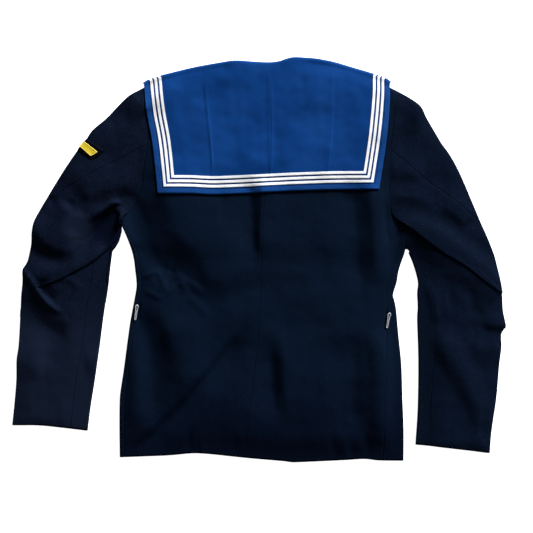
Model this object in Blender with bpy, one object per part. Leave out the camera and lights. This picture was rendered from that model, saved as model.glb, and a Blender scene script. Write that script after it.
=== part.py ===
"""Sailor jumper laid out flat with its back up.

The body and the two-piece sleeves are thin tubes of cloth, pressed flat. A square
collar lies over the back, folds over the shoulders and ends at the point of the
neck. It carries three tapes. A chevron badge wraps the edge of the left sleeve, and
a wire belt hook lies on each side seam.

Sizes are in millimetres here and become metres as each mesh is made. +X points to
the wearer's right, +Y to the neck and +Z up. The table is at Z = 0.
"""

import math
from dataclasses import dataclass

import bmesh
import bpy
from mathutils import Vector

METRE = 0.001

# Thicknesses and heights
CLOTH = 2.0
COLLAR_CLOTH = 1.2
TAPE_CLOTH = 0.4
BADGE_CLOTH = 0.6
CHEVRON_CLOTH = 0.5
GAP = 0.3
EDGE_RADIUS = 3.0
LAYERS = 2 * EDGE_RADIUS
SLACK = 1.5
COLLAR_EDGE = 5.0
COLLAR_UNDER = TAPE_CLOTH + 0.4
FRONT_LIFT = COLLAR_UNDER + COLLAR_CLOTH + GAP

# Collar tapes, from the outside in
TAPE_WIDTH = 5.0
TAPE_PITCH = 7.5
TAPE_MARGIN = 10.0

# Chevron badge on the left sleeve
CHEVRON_WIDTH = 12.0
CHEVRON_ARM = 25.0
CHEVRON_HIDDEN_ARM = 15.0
CHEVRON_TURN = math.radians(38)
BADGE_MARGIN = 6.0
BADGE_PLACE = (-304.0, 200.0)
BADGE_LIFT = 2.0

# Belt hooks
HOOK_LENGTH = 27.0
HOOK_WIDTH = 5.0
HOOK_WIRE = 1.6
# name, centre x, centre y, turn from the Y axis in degrees
HOOKS = (
    ("belt_hook_left", -211.0, -90.0, -8.0),
    ("belt_hook_right", 222.5, -104.0, -10.0),
)

# How finely the cloth is divided
EDGE_STEPS = 3
BODY_ROWS = 13
LAST_BODY_ROW = 0.98
DOWN = (0.0, -1.0)
YOKE_ROWS = 7
BODY_COLUMNS = 12
FRONT_COLUMNS = 5
NECK_COLUMNS = 4
SLEEVE_COLUMNS = 7

# Outlines as x, y. The body's run from the hem up.
SIDE_LEFT = (
    (-240, -340), (-240, -241), (-233, -189), (-218, -86),
    (-211, -46), (-213, -20), (-223, 29), (-237, 74),
)
SIDE_RIGHT = (
    (250, -346), (248, -241), (241, -129), (236, -81),
    (232, -62), (238, -38), (250.5, 21), (254.5, 63),
)
HEM = (
    (-240, -340), (-161, -337), (-92, -334), (-24, -341),
    (40, -348), (71, -348), (148, -345), (250, -346),
)
UNDERARM_LINE = ((-237, 74), (-120, 88), (8, 98), (130, 92), (229, 78))
UNDERARM_RIGHT = ((229, 78), (243, 67), (251.5, 63))
ARMHOLE_LEFT = (
    (-237, 74), (-223, 87), (-211, 109), (-203, 133),
    (-194, 191), (-190, 224), (-187, 302),
)
ARMHOLE_RIGHT = ((229, 78), (224, 112), (227, 189), (231, 239), (242, 289))
SHOULDER_LEFT = ((-187, 302), (-117, 323), (-61, 333))
SHOULDER_RIGHT = ((86, 338), (140, 330), (184, 317), (242, 289))
BACK_NECK = ((-61, 330), (-39, 321), (16, 314), (69, 324), (86, 335))
NECK_POINT = (8, 98)

# Sleeve outlines from the shoulder or underarm down to the cuff
OUTER_LEFT = (
    (-187, 302), (-219, 285), (-263, 243), (-286, 223), (-346, 138), (-386, 66),
    (-398, 0), (-407, -25), (-412, -100), (-418, -208), (-425, -284),
)
INNER_LEFT = (
    (-238, 74), (-239.5, 54), (-251, 23), (-257, -15),
    (-260, -51), (-277, -170), (-290, -254), (-295, -294),
)
LIP_LEFT = ((-241, 74), (-260, 52), (-276, 14), (-316, -14), (-378, -38), (-408, -36))
CUFF_LEFT = ((-425, -284), (-381, -284), (-340, -288), (-295, -294))
OUTER_RIGHT = (
    (242, 289), (262, 277), (288, 246), (327, 184), (354, 132), (380, 70), (406, 10),
    (420, -69), (425.5, -113), (418, -134), (418, -149), (412, -206), (398, -332),
)
INNER_RIGHT = (
    (258.5, 59.5), (258.5, 41), (256, 20), (264, -2), (271, -23),
    (274, -43), (273, -103), (275, -172), (274, -254), (270, -318),
)
LIP_RIGHT = ((261.5, 59.5), (275, 55), (298, 36), (323, 17), (375, -17), (418, -52))
CUFF_RIGHT = ((398, -332), (348, -326), (270, -318))

# Collar outlines
COLLAR_TOP = (
    (-200, 305), (-168, 318), (-116, 331), (-44, 343), (18, 340), (62, 348.7),
    (130, 341), (164, 331), (228, 307),
)
COLLAR_LEFT = ((-173, 116), (-183, 199), (-193, 251), (-200, 305))
COLLAR_RIGHT = ((206, 123), (216, 181), (222, 224), (228, 307))
COLLAR_BOTTOM = ((-173, 116), (-76, 114), (69, 121), (206, 123))
COLLAR_FRONT_LEFT = ((-200, 305), (-176, 246), (-110, 158), (7.7, 62))
COLLAR_FRONT_RIGHT = ((228, 307), (206, 246), (130, 158), (8.3, 62))

# The centre-back seam in plan, from below the hem to above the neck
CENTRE_BACK = (
    (-26, -370), (-21, -303), (-7, -184), (4, -3), (10, 112), (14, 240), (16, 340),
)
# Other seams as share of the way along the tube, place round it. A place of 0 to 1
# goes over the upper layer, 1 to 2 round an edge, 2 to 3 back along the under layer
# and 3 to 4, or -1 to 0, round the other edge. Sleeves count 0 to 1 from the armhole
# to the fold at the elbow and 1 to 2 from there to the cuff.
SIDE_SEAM_LEFT = (
    (0.0, 0.004), (0.35, 0.003), (0.6, 0.012), (0.75, 0.012), (0.9, 0.004), (1.0, 0.0),
)
SIDE_SEAM_RIGHT = (
    (0.0, 0.932), (0.22, 0.938), (0.4, 0.947), (0.54, 0.959), (0.67, 0.975), (1.0, 0.98),
)
HIND_SEAM_LEFT = (
    (0.0, 0.46), (0.5, 0.2), (0.75, 0.0), (1.0, -0.9), (1.2, -1.03), (2.0, -1.03),
)
FORE_SEAM_LEFT = ((0.0, 2.0), (1.0, 1.6), (1.08, 0.97), (1.2, 0.79), (2.0, 0.76))
HIND_SEAM_RIGHT = (
    (0.0, 0.41), (0.5, 0.2), (0.78, 0.0), (1.0, -0.9), (1.2, -1.03), (2.0, -1.03),
)
FORE_SEAM_RIGHT = ((0.0, 2.0), (1.0, 1.6), (1.08, 0.97), (1.2, 0.81), (2.0, 0.835))


@dataclass(frozen=True)
class Fold:
    """A ridge of cloth along a line, with its own reach to either side."""

    line: tuple
    rise: float
    reach_left: float
    reach_right: float
    fade: float = 0.25


FOLDS = (
    Fold(((-240, 50), (-268, 17), (-316, -14), (-378, -38)), 7.0, 4.0, 70.0),
    Fold(((256, 58), (275, 47), (323, 17), (375, -17), (418, -52)), 6.0, 60.0, 4.0),
    Fold(((-252, 91), (-285, 68), (-311, 26)), 4.0, 18.0, 18.0),
    Fold(((-391, -35), (-362, -71), (-333, -88)), 3.0, 14.0, 14.0),
    Fold(((-149, 105), (-105, 50), (-58, -26)), 3.5, 26.0, 26.0),
    Fold(((-204, -130), (-205, -190), (-202, -245)), 3.0, 20.0, 20.0),
    Fold(((415, -112), (385, -122), (355, -129)), 3.0, 14.0, 14.0),
)


def smoothstep(share):
    """Eases a share of 0 to 1 at both ends."""
    share = min(max(share, 0.0), 1.0)
    return share * share * (3 - 2 * share)


def table_value(table, key):
    """Reads a table of key, value rows between its rows."""
    for (low, first), (high, last) in zip(table, table[1:]):
        if key <= high:
            return first + (last - first) * max(key - low, 0.0) / (high - low)
    return table[-1][1]


class Line:
    """A line in plan through a few points, read by its share of the length."""

    def __init__(self, points, smooth=True, steps=8):
        points = [Vector(point) for point in points]
        if smooth and len(points) > 2:
            points = self.rounded(points, steps)
        self.points = points
        self.reached = [0.0]
        for first, last in zip(points, points[1:]):
            self.reached.append(self.reached[-1] + (last - first).length)
        self.length = self.reached[-1]

    @staticmethod
    def rounded(points, steps):
        """Runs a Catmull-Rom curve through the points."""
        ends = [2 * points[0] - points[1], *points, 2 * points[-1] - points[-2]]
        curve = []
        for before, first, last, after in zip(ends, ends[1:], ends[2:], ends[3:]):
            for step in range(steps):
                t = step / steps
                slope = last - before
                bend = 2 * before - 5 * first + 4 * last - after
                twist = 3 * (first - last) + after - before
                curve.append(first + 0.5 * t * (slope + t * (bend + t * twist)))
        return [*curve, points[-1]]

    def at(self, share):
        """The point at this share of the length."""
        wanted = min(max(share, 0.0), 1.0) * self.length
        for index in range(len(self.points) - 1):
            if wanted <= self.reached[index + 1]:
                break
        run = self.reached[index + 1] - self.reached[index]
        return self.points[index].lerp(
            self.points[index + 1], (wanted - self.reached[index]) / max(run, 1e-9)
        )

    def normal(self, share, toward):
        """The unit normal at this share, on the side of the point `toward`."""
        step = (self.at(share + 0.01) - self.at(share - 0.01)).normalized()
        normal = Vector((-step.y, step.x))
        return normal if normal.dot(toward - self.at(share)) > 0 else -normal

    def nearest(self, point):
        """Distance to the line, share along it and side (+1 left, -1 right)."""
        point = Vector(point)
        best = None
        for index, (first, last) in enumerate(zip(self.points, self.points[1:])):
            run = last - first
            place = min(max((point - first).dot(run) / run.length_squared, 0.0), 1.0)
            away = point - (first + run * place)
            if best is None or away.length < best[0]:
                reached = self.reached[index] + place * run.length
                side = 1 if run.x * away.y - run.y * away.x > 0 else -1
                best = (away.length, reached / self.length, side)
        return best

    def part(self, first, last):
        """The stretch between two shares, in that direction."""
        low, high = sorted((first, last))
        inside = [
            point
            for point, reached in zip(self.points, self.reached)
            if low < reached / self.length < high
        ]
        points = [self.at(low), *inside, self.at(high)]
        return Line(points if first < last else points[::-1], smooth=False)

    def fitted(self, start, end):
        """The same line with its ends moved to these points."""
        start_move = start - self.points[0]
        end_move = end - self.points[-1]
        return Line(
            [
                point + start_move.lerp(end_move, reached / self.length)
                for point, reached in zip(self.points, self.reached)
            ],
            smooth=False,
        )

    def inset(self, distance, other):
        """The line moved toward another one."""
        shares = [reached / self.length for reached in self.reached]
        return Line(
            [
                self.at(share) + distance * self.normal(share, other.at(0.5))
                for share in shares
            ],
            smooth=False,
        )


def joined(*lines):
    """One line made of several that follow each other."""
    points = list(lines[0].points)
    for line in lines[1:]:
        points += line.points[1:]
    return Line(points, smooth=False)


class Patch:
    """A surface in plan between four lines, bent evenly from one to the next."""

    def __init__(self, south, north, west, east):
        self.west = west
        self.east = east
        self.south = south.fitted(west.at(0), east.at(0))
        self.north = north.fitted(west.at(1), east.at(1))

    def at(self, u, v):
        """The point at share u from west to east and v from south to north."""
        across = self.west.at(v).lerp(self.east.at(v), u)
        along = self.south.at(u).lerp(self.north.at(u), v)
        south = self.west.at(0).lerp(self.east.at(0), u)
        north = self.west.at(1).lerp(self.east.at(1), u)
        return across + along - south.lerp(north, v)


FOLD_LINES = tuple((fold, Line(fold.line)) for fold in FOLDS)


def rise_of_folds(point):
    """Height that the folds add at a point in plan."""
    height = 0.0
    for fold, line in FOLD_LINES:
        distance, share, side = line.nearest(point)
        reach = fold.reach_left if side > 0 else fold.reach_right
        if distance < reach:
            ends = smoothstep(min(share, 1 - share) / fold.fade)
            height += fold.rise * ends * (1 - smoothstep(distance / reach))
    return height


def rise_of_base(point):
    """Height at which the under layer lies, over the collar's ends and the badge."""
    outside = Vector((max(-205 - point.x, point.x - 233, 0.0), max(58 - point.y, 0.0)))
    over_collar = FRONT_LIFT * (1 - smoothstep((outside.length - 24) / 46))
    away = (point - Vector(BADGE_PLACE)).length
    over_badge = BADGE_LIFT * (1 - smoothstep((away - 42) / 40))
    return max(over_collar, over_badge)


def upper(point):
    """Height of the upper layer's outside."""
    return LAYERS + rise_of_base(point) + rise_of_folds(point)


def under(point):
    """Height of the under layer's outside."""
    return rise_of_base(point) + max(rise_of_folds(point) - SLACK, 0.0)


@dataclass
class Spot:
    """A place on a piece, with its outside and inside points."""

    place: float
    outside: Vector
    inside: Vector

    def moved(self, step):
        """The same spot moved in plan."""
        step = Vector((step.x, step.y, 0))
        return Spot(self.place, self.outside + step, self.inside + step)


def upper_spot(place, point, wall=CLOTH):
    """A spot on the upper layer."""
    height = upper(point)
    outside = Vector((point.x, point.y, height))
    return Spot(place, outside, outside - Vector((0, 0, wall)))


def under_spot(place, point, wall=CLOTH):
    """A spot on the under layer."""
    height = under(point)
    outside = Vector((point.x, point.y, height))
    return Spot(place, outside, outside + Vector((0, 0, wall)))


def round_spot(place, point, outward, angle, radius, low, high, wall):
    """A spot on the rounded edge beyond `point`, from `low` up to `high`."""
    middle = (low + high) / 2
    half = (high - low) / 2
    spots = []
    for inner in (0.0, wall):
        plan = point + outward * (radius - inner) * math.cos(angle)
        height = middle + (half - inner) * math.sin(angle)
        spots.append(Vector((plan.x, plan.y, height)))
    return Spot(place, *spots)


class Tube:
    """A flattened tube of cloth between two outlines and two end lines.

    An edge at an underarm turns its fold, so that the body and the sleeve meet round
    one bend. `underarms` holds for the west and the east edge either None or the
    share at which the turn starts, the direction there (None for the edge's own) and
    the direction at the end.
    """

    def __init__(self, west, east, south, north, underarms=(None, None)):
        self.patch = Patch(south, north, west, east)
        self.edges = (west, east)
        self.underarms = underarms

    def outward(self, index, v):
        """Direction in plan in which an edge is folded."""
        near, far = self.edges[index], self.edges[1 - index]
        outward = -near.normal(v, far.at(0.5))
        if self.underarms[index]:
            start, first, last = self.underarms[index]
            first = Vector(first) if first else outward
            blend = max(v - start, 0.0) / (1 - start)
            outward = first.lerp(Vector(last), blend).normalized()
        return outward

    def spot(self, place, v):
        """The spot at this place round the tube, at share v along it."""
        place = place % 4
        if place <= 1:
            return upper_spot(place, self.patch.at(place, v))
        if 2 <= place <= 3:
            return under_spot(place, self.patch.at(3 - place, v))
        index = 0 if place > 3 else 1
        turn = 4 - place if place > 3 else place - 1
        point = self.edges[index].at(v)
        outward = self.outward(index, v)
        angle = math.pi * (0.5 - turn)
        return round_spot(
            place, point, outward, angle, EDGE_RADIUS, under(point), upper(point), CLOTH
        )

    def row(self, v, start, end, columns):
        """The spots from one seam to another, each set back by half the gap."""
        places = [place for place in columns if start + 0.02 < place < end - 0.02]
        spots = [self.spot(place, v) for place in (start, *places, end)]
        for spot, place in zip(spots, (start, *places, end)):
            spot.place = place
        for index, neighbour in ((0, 1), (-1, -2)):
            step = (spots[neighbour].outside - spots[index].outside).normalized()
            spots[index].outside += step * GAP / 2
            spots[index].inside += step * GAP / 2
        return spots


def round_columns(across_upper, across_under):
    """Places round a tube, from -1 to 5, so that a piece may pass place 0 or 4."""
    once = [index / across_upper for index in range(across_upper)]
    once += [1 + index / EDGE_STEPS for index in range(EDGE_STEPS)]
    once += [2 + index / across_under for index in range(across_under)]
    once += [3 + index / EDGE_STEPS for index in range(EDGE_STEPS)]
    return [place + turn for turn in (-4, 0, 4) for place in once]


class Shell:
    """A wall of cloth, gathered as rows of spots and closed at its borders."""

    def __init__(self):
        self.spots = []
        self.index = {}
        self.faces = []

    def number(self, spot):
        """The number of a spot, shared by spots at the same point."""
        key = tuple(round(value, 3) for value in (*spot.outside, *spot.inside))
        if key not in self.index:
            self.index[key] = len(self.spots)
            self.spots.append(spot)
        return self.index[key]

    def add_rows(self, rows):
        """Joins each row to the next, however many spots each has."""
        for first, last in zip(rows, rows[1:]):
            self.join(first, last)

    def join(self, first, last):
        """Fills the strip between two rows with quads and triangles."""
        a, b = 0, 0
        while a < len(first) - 1 or b < len(last) - 1:
            next_a = first[a + 1].place if a < len(first) - 1 else math.inf
            next_b = last[b + 1].place if b < len(last) - 1 else math.inf
            corners = [first[a]]
            reach = min(abs(next_a - first[a].place), abs(next_b - last[b].place))
            both = abs(next_a - next_b) < 0.35 * reach
            if both or next_a < next_b:
                a += 1
                corners.append(first[a])
            if both or next_b <= next_a:
                corners += [last[b + 1], last[b]]
                b += 1
            else:
                corners.append(last[b])
            face = [self.number(spot) for spot in corners]
            if len(set(face)) > 2:
                self.faces.append(tuple(dict.fromkeys(face)))

    def build(self, name, colour, roughness, metallic=0.0):
        """Makes the closed object."""
        mesh = bmesh.new()
        outside = [mesh.verts.new(spot.outside * METRE) for spot in self.spots]
        inside = [mesh.verts.new(spot.inside * METRE) for spot in self.spots]
        used = {}
        for face in self.faces:
            mesh.faces.new([outside[number] for number in face])
            mesh.faces.new([inside[number] for number in reversed(face)])
            for pair in zip(face, face[1:] + face[:1]):
                used[frozenset(pair)] = None if frozenset(pair) in used else pair
        for pair in filter(None, used.values()):
            first, last = pair
            mesh.faces.new([outside[last], outside[first], inside[first], inside[last]])
        bmesh.ops.recalc_face_normals(mesh, faces=mesh.faces)
        bmesh.ops.triangulate(mesh, faces=mesh.faces)
        data = bpy.data.meshes.new(name)
        mesh.to_mesh(data)
        mesh.free()
        data.shade_smooth()
        data.set_sharp_from_angle(angle=math.radians(40))
        data.materials.append(material(name, colour, roughness, metallic))
        piece = bpy.data.objects.new(name, data)
        bpy.context.scene.collection.objects.link(piece)
        return piece


def material(name, colour, roughness, metallic=0.0):
    """A plain material for one piece."""
    made = bpy.data.materials.new(name)
    made.use_nodes = True
    shader = made.node_tree.nodes["Principled BSDF"]
    shader.inputs["Base Color"].default_value = (*colour, 1.0)
    shader.inputs["Roughness"].default_value = roughness
    shader.inputs["Metallic"].default_value = metallic
    return made


NAVY = (0.012, 0.018, 0.035)
BLUE = (0.012, 0.060, 0.230)
WHITE = (0.72, 0.73, 0.76)
YELLOW = (0.78, 0.55, 0.06)
STEEL = (0.55, 0.56, 0.58)


def crossing(patch, v, line):
    """The share u at which a row of a patch crosses a line that runs up it."""
    low, high = 0.0, 1.0
    for _ in range(24):
        middle = (low + high) / 2
        on_left = line.nearest(patch.at(middle, v))[2] > 0
        low, high = (middle, high) if on_left else (low, middle)
    return (low + high) / 2


def shares(steps, first=0.0, last=1.0):
    """Evenly spaced shares, both ends included."""
    return [first + (last - first) * index / steps for index in range(steps + 1)]


def set_back(spots, first=True, last=True):
    """Moves the ends of a row inward by half the gap."""
    ends = ([(0, 1)] if first else []) + ([(-1, -2)] if last else [])
    for index, neighbour in ends:
        step = (spots[neighbour].outside - spots[index].outside).normalized()
        spots[index].outside += step * GAP / 2
        spots[index].inside += step * GAP / 2
    return spots


class Body:
    """The back in two panels and the front in one, with an open neck."""

    def __init__(self):
        left, right = Line(SIDE_LEFT), Line(SIDE_RIGHT)
        hem = Line(HEM)
        west, east = left.inset(EDGE_RADIUS, right), right.inset(EDGE_RADIUS, left)
        north = joined(Line(UNDERARM_LINE), Line(UNDERARM_RIGHT))
        fold = (0.97, None, DOWN)
        self.tube = Tube(west, east, hem, north, (fold, fold))
        across = self.tube.patch.north
        self.corner = across.nearest(UNDERARM_RIGHT[0])[1]
        self.middle = across.nearest(NECK_POINT)[1]
        neck_point = across.at(self.middle)
        self.shoulders = [
            Line(points).inset(EDGE_RADIUS, hem)
            for points in (SHOULDER_LEFT, SHOULDER_RIGHT)
        ]
        left_shoulder, right_shoulder = self.shoulders
        armhole_left = Line(ARMHOLE_LEFT).fitted(across.at(0), left_shoulder.at(0))
        armhole_right = Line(ARMHOLE_RIGHT).fitted(
            across.at(self.corner), right_shoulder.at(1)
        )
        self.neck = Line(BACK_NECK).fitted(left_shoulder.at(1), right_shoulder.at(0))
        top = joined(left_shoulder, self.neck, right_shoulder)
        self.turns = (left_shoulder.length / top.length,
                      1 - right_shoulder.length / top.length)
        self.back = Patch(across.part(0, self.corner), top, armhole_left, armhole_right)
        self.front_left = Patch(
            across.part(0, self.middle), left_shoulder, armhole_left,
            Line((neck_point, left_shoulder.at(1))),
        )
        self.front_right = Patch(
            across.part(self.middle, self.corner), right_shoulder,
            Line((neck_point, right_shoulder.at(0))), armhole_right,
        )
        self.seam = Line(CENTRE_BACK)

    @staticmethod
    def row_shares():
        """Shares of the way up from the hem, with one just below the underarm."""
        return [*shares(BODY_ROWS)[:-1], LAST_BODY_ROW, 1.0]

    def columns(self):
        """Places round the body, with one at the corner of the right armhole."""
        return sorted([*round_columns(BODY_COLUMNS, 2 * FRONT_COLUMNS), self.corner])

    def back_panel(self, name, is_left):
        """Half of the back, from the centre seam to a side seam and an armhole."""
        shell = Shell()
        rows = []
        for v in self.row_shares():
            centre = crossing(self.tube.patch, v, self.seam)
            if is_left:
                start, end = table_value(SIDE_SEAM_LEFT, v), centre
            else:
                start, end = centre, table_value(SIDE_SEAM_RIGHT, v)
            rows.append(self.tube.row(v, start, end, self.columns()))
        shell.add_rows(rows)
        border = [spot for spot in rows[-1] if spot.place < self.corner + 0.001]
        rows = [[Spot(s.place / self.corner, s.outside, s.inside) for s in border]]
        for v in shares(YOKE_ROWS)[1:]:
            centre = crossing(self.back, v, self.seam)
            places = shares(BODY_COLUMNS)
            if v == 1:
                left_turn, right_turn = self.turns
                places = [
                    *shares(FRONT_COLUMNS, 0, left_turn),
                    *shares(NECK_COLUMNS, left_turn, right_turn)[1:],
                    *shares(FRONT_COLUMNS, right_turn, 1)[1:],
                ]
            if is_left:
                places = [place for place in places if place < centre - 0.02] + [centre]
            else:
                places = [centre] + [place for place in places if place > centre + 0.02]
            row = [upper_spot(place, self.back.at(place, v)) for place in places]
            set_back(row, first=not is_left, last=is_left)
            if v == 1:
                down = Vector((0, -GAP / 2))
                row = [spot.moved(down) for spot in row]
            rows.append(row)
        shell.add_rows(rows)
        return shell.build(name, NAVY, 0.85)

    def front_panel(self):
        """The front, which turns up round the sides and over the shoulders."""
        shell = Shell()
        rows = []
        for v in self.row_shares():
            start = table_value(SIDE_SEAM_RIGHT, v)
            end = 4 + table_value(SIDE_SEAM_LEFT, v)
            columns = [*self.columns(), 3 - self.corner, 3 - self.middle]
            columns.append(3 - SIDE_SEAM_RIGHT[-1][1])
            rows.append(self.tube.row(v, start, end, sorted(columns)))
        shell.add_rows(rows)
        for patch, low, high, shoulder in (
            (self.front_left, 0.0, self.middle, self.shoulders[0]),
            (self.front_right, self.middle, self.corner, self.shoulders[1]),
        ):
            border = [
                Spot((3 - s.place - low) / (high - low), s.outside, s.inside)
                for s in reversed(rows[-1])
                if low - 0.001 < 3 - s.place < high + 0.001
            ]
            above = [border]
            for v in shares(YOKE_ROWS)[1:]:
                above.append(
                    [under_spot(u, patch.at(u, v)) for u in shares(FRONT_COLUMNS)]
                )
            for angle in shares(EDGE_STEPS, -math.pi / 2, math.pi / 2)[1:]:
                row = []
                for u in shares(FRONT_COLUMNS):
                    point = shoulder.at(u)
                    outward = -shoulder.normal(u, Vector(NECK_POINT))
                    row.append(round_spot(
                        u, point, outward, angle, EDGE_RADIUS,
                        under(point), upper(point), CLOTH,
                    ))
                above.append(row)
            above[-1] = [spot.moved(Vector((0, GAP / 2))) for spot in above[-1]]
            shell.add_rows(above)
        return shell.build("front", NAVY, 0.85)

    def armhole(self, is_left):
        """The edge of an armhole, from the shoulder to the underarm."""
        edge = self.back.west if is_left else self.back.east
        points = [edge.at(v) for v in reversed(shares(YOKE_ROWS))]
        if not is_left:
            across = self.tube.patch.north
            points += [across.at(share) for share in (SIDE_SEAM_RIGHT[-1][1], 1.0)]
        return points


class Sleeve:
    """A two-piece sleeve that crosses over itself in a fold at the elbow."""

    def __init__(self, armhole, outer, inner, lip, cuff, hind_seam, fore_seam):
        outer, inner = Line(outer), Line(inner)
        self.outer = outer.inset(EDGE_RADIUS, inner)
        inner = inner.inset(EDGE_RADIUS, outer)
        lip = Line(lip)
        elbow = self.outer.nearest(lip.at(1))[1]
        edge = Line(armhole, smooth=False)
        away = [
            point + GAP * edge.normal(reached / edge.length, self.outer.at(0.5))
            for point, reached in zip(edge.points, edge.reached)
        ]
        sideways = math.copysign(GAP, away[-1].x)
        away[-1] += Vector((sideways, 0))
        edge = Line(away, smooth=False)
        self.shares = [reached / edge.length for reached in edge.reached]
        upper_outer = self.outer.part(0, elbow)
        lip = lip.part(1, 0)
        self.upper_arm = Tube(
            upper_outer.fitted(edge.at(0), upper_outer.at(1)),
            Line((edge.at(1), inner.at(0))),
            edge, lip, (None, (0.0, DOWN, (-math.copysign(0.7, away[0].x), -0.7))),
        )
        self.forearm = Tube(
            self.outer.part(elbow, 1), inner, lip, Line(cuff)
        )
        self.hind_seam = hind_seam
        self.fore_seam = fore_seam

    def rows(self, start_table, end_table, start_turn, end_turn):
        """The rows of one piece between two seams, from armhole to cuff."""
        rows = []
        columns = round_columns(SLEEVE_COLUMNS, SLEEVE_COLUMNS)
        edge_places = [1 + share for share in shares(EDGE_STEPS)[1:-1]]
        first = [*self.shares, *edge_places]
        first += [3 - share for share in self.shares] + [2 + p for p in edge_places]
        first = sorted({round(place + turn, 6) for place in first for turn in (-4, 0, 4)})
        for key in SLEEVE_ROWS:
            tube, v = (self.upper_arm, key) if key <= 1 else (self.forearm, key - 1)
            start = table_value(start_table, key) + start_turn
            end = table_value(end_table, key) + end_turn
            rows.append(tube.row(v, start, end, first if key == 0 else columns))
        return rows

    def build(self, side):
        """Makes the top sleeve and the under sleeve."""
        under_sleeve, top_sleeve = Shell(), Shell()
        under_sleeve.add_rows(self.rows(self.hind_seam, self.fore_seam, 0, 0))
        top_sleeve.add_rows(self.rows(self.fore_seam, self.hind_seam, 0, 4))
        under_sleeve.build("under_sleeve_" + side, NAVY, 0.85)
        top_sleeve.build("top_sleeve_" + side, NAVY, 0.85)

    def wrapped_spot(self, along, across, lift, wall):
        """A spot `along` mm from the shoulder and `across` mm in from the edge fold."""
        edge = self.upper_arm.edges[0]
        share = along / edge.length
        point = edge.at(share)
        inward = edge.normal(share, self.upper_arm.edges[1].at(0.5))
        round_length = math.pi * EDGE_RADIUS
        if across >= 0:
            spot = upper_spot(0, point + inward * across)
            step = Vector((0, 0, 1))
        elif across <= -round_length:
            spot = under_spot(0, point - inward * (across + round_length))
            step = Vector((0, 0, -1))
        else:
            turn = math.pi / 2 + across / EDGE_RADIUS
            spot = round_spot(
                0, point, -inward, turn, EDGE_RADIUS, under(point), upper(point), 0.0
            )
            step = Vector((*(-inward * math.cos(turn)), math.sin(turn)))
        return Spot(0, spot.outside + step * (lift + wall), spot.outside + step * lift)


SLEEVE_ROWS = (
    0.0, 0.12, 0.24, 0.3, 0.36, 0.42, 0.48, 0.54, 0.66, 0.78, 0.9, 1.0,
    1.02, 1.08, 1.16, 1.26, 1.38, 1.5, 1.62, 1.75, 1.88, 2.0,
)


def build_chevron(sleeve, name, margin, lift, wall, colour, roughness):
    """A strip bent into a V whose visible arm crosses the edge of the sleeve."""
    edge = sleeve.upper_arm.edges[0]
    middle = edge.nearest(BADGE_PLACE)[1] * edge.length
    half = CHEVRON_WIDTH / 2 + margin
    slant = half * math.tan(CHEVRON_TURN / 2)
    tip = -CHEVRON_HIDDEN_ARM
    rounded = math.pi * EDGE_RADIUS
    stops = [
        (CHEVRON_ARM + margin - slant, CHEVRON_ARM + margin + slant),
        (CHEVRON_ARM / 2, CHEVRON_ARM / 2),
        *[(-rounded * share, -rounded * share) for share in shares(EDGE_STEPS)],
        (tip - slant, tip + slant),
    ]
    rows = []
    for low, high in stops:
        rows.append([
            sleeve.wrapped_spot(middle - half, high, lift, wall),
            sleeve.wrapped_spot(middle, (low + high) / 2, lift, wall),
            sleeve.wrapped_spot(middle + half, low, lift, wall),
        ])
    reach = CHEVRON_ARM + CHEVRON_HIDDEN_ARM + margin
    last = []
    for side in (-1, 0, 1):
        start_along = middle + side * half
        start_across = tip - side * slant
        last.append(sleeve.wrapped_spot(
            start_along - math.sin(CHEVRON_TURN) * reach,
            start_across - math.cos(CHEVRON_TURN) * reach - side * slant * 0,
            lift, wall,
        ))
    rows.append(last)
    for row in rows:
        for index, spot in enumerate(row):
            spot.place = index
    shell = Shell()
    shell.add_rows(rows)
    return shell.build(name, colour, roughness)


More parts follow.
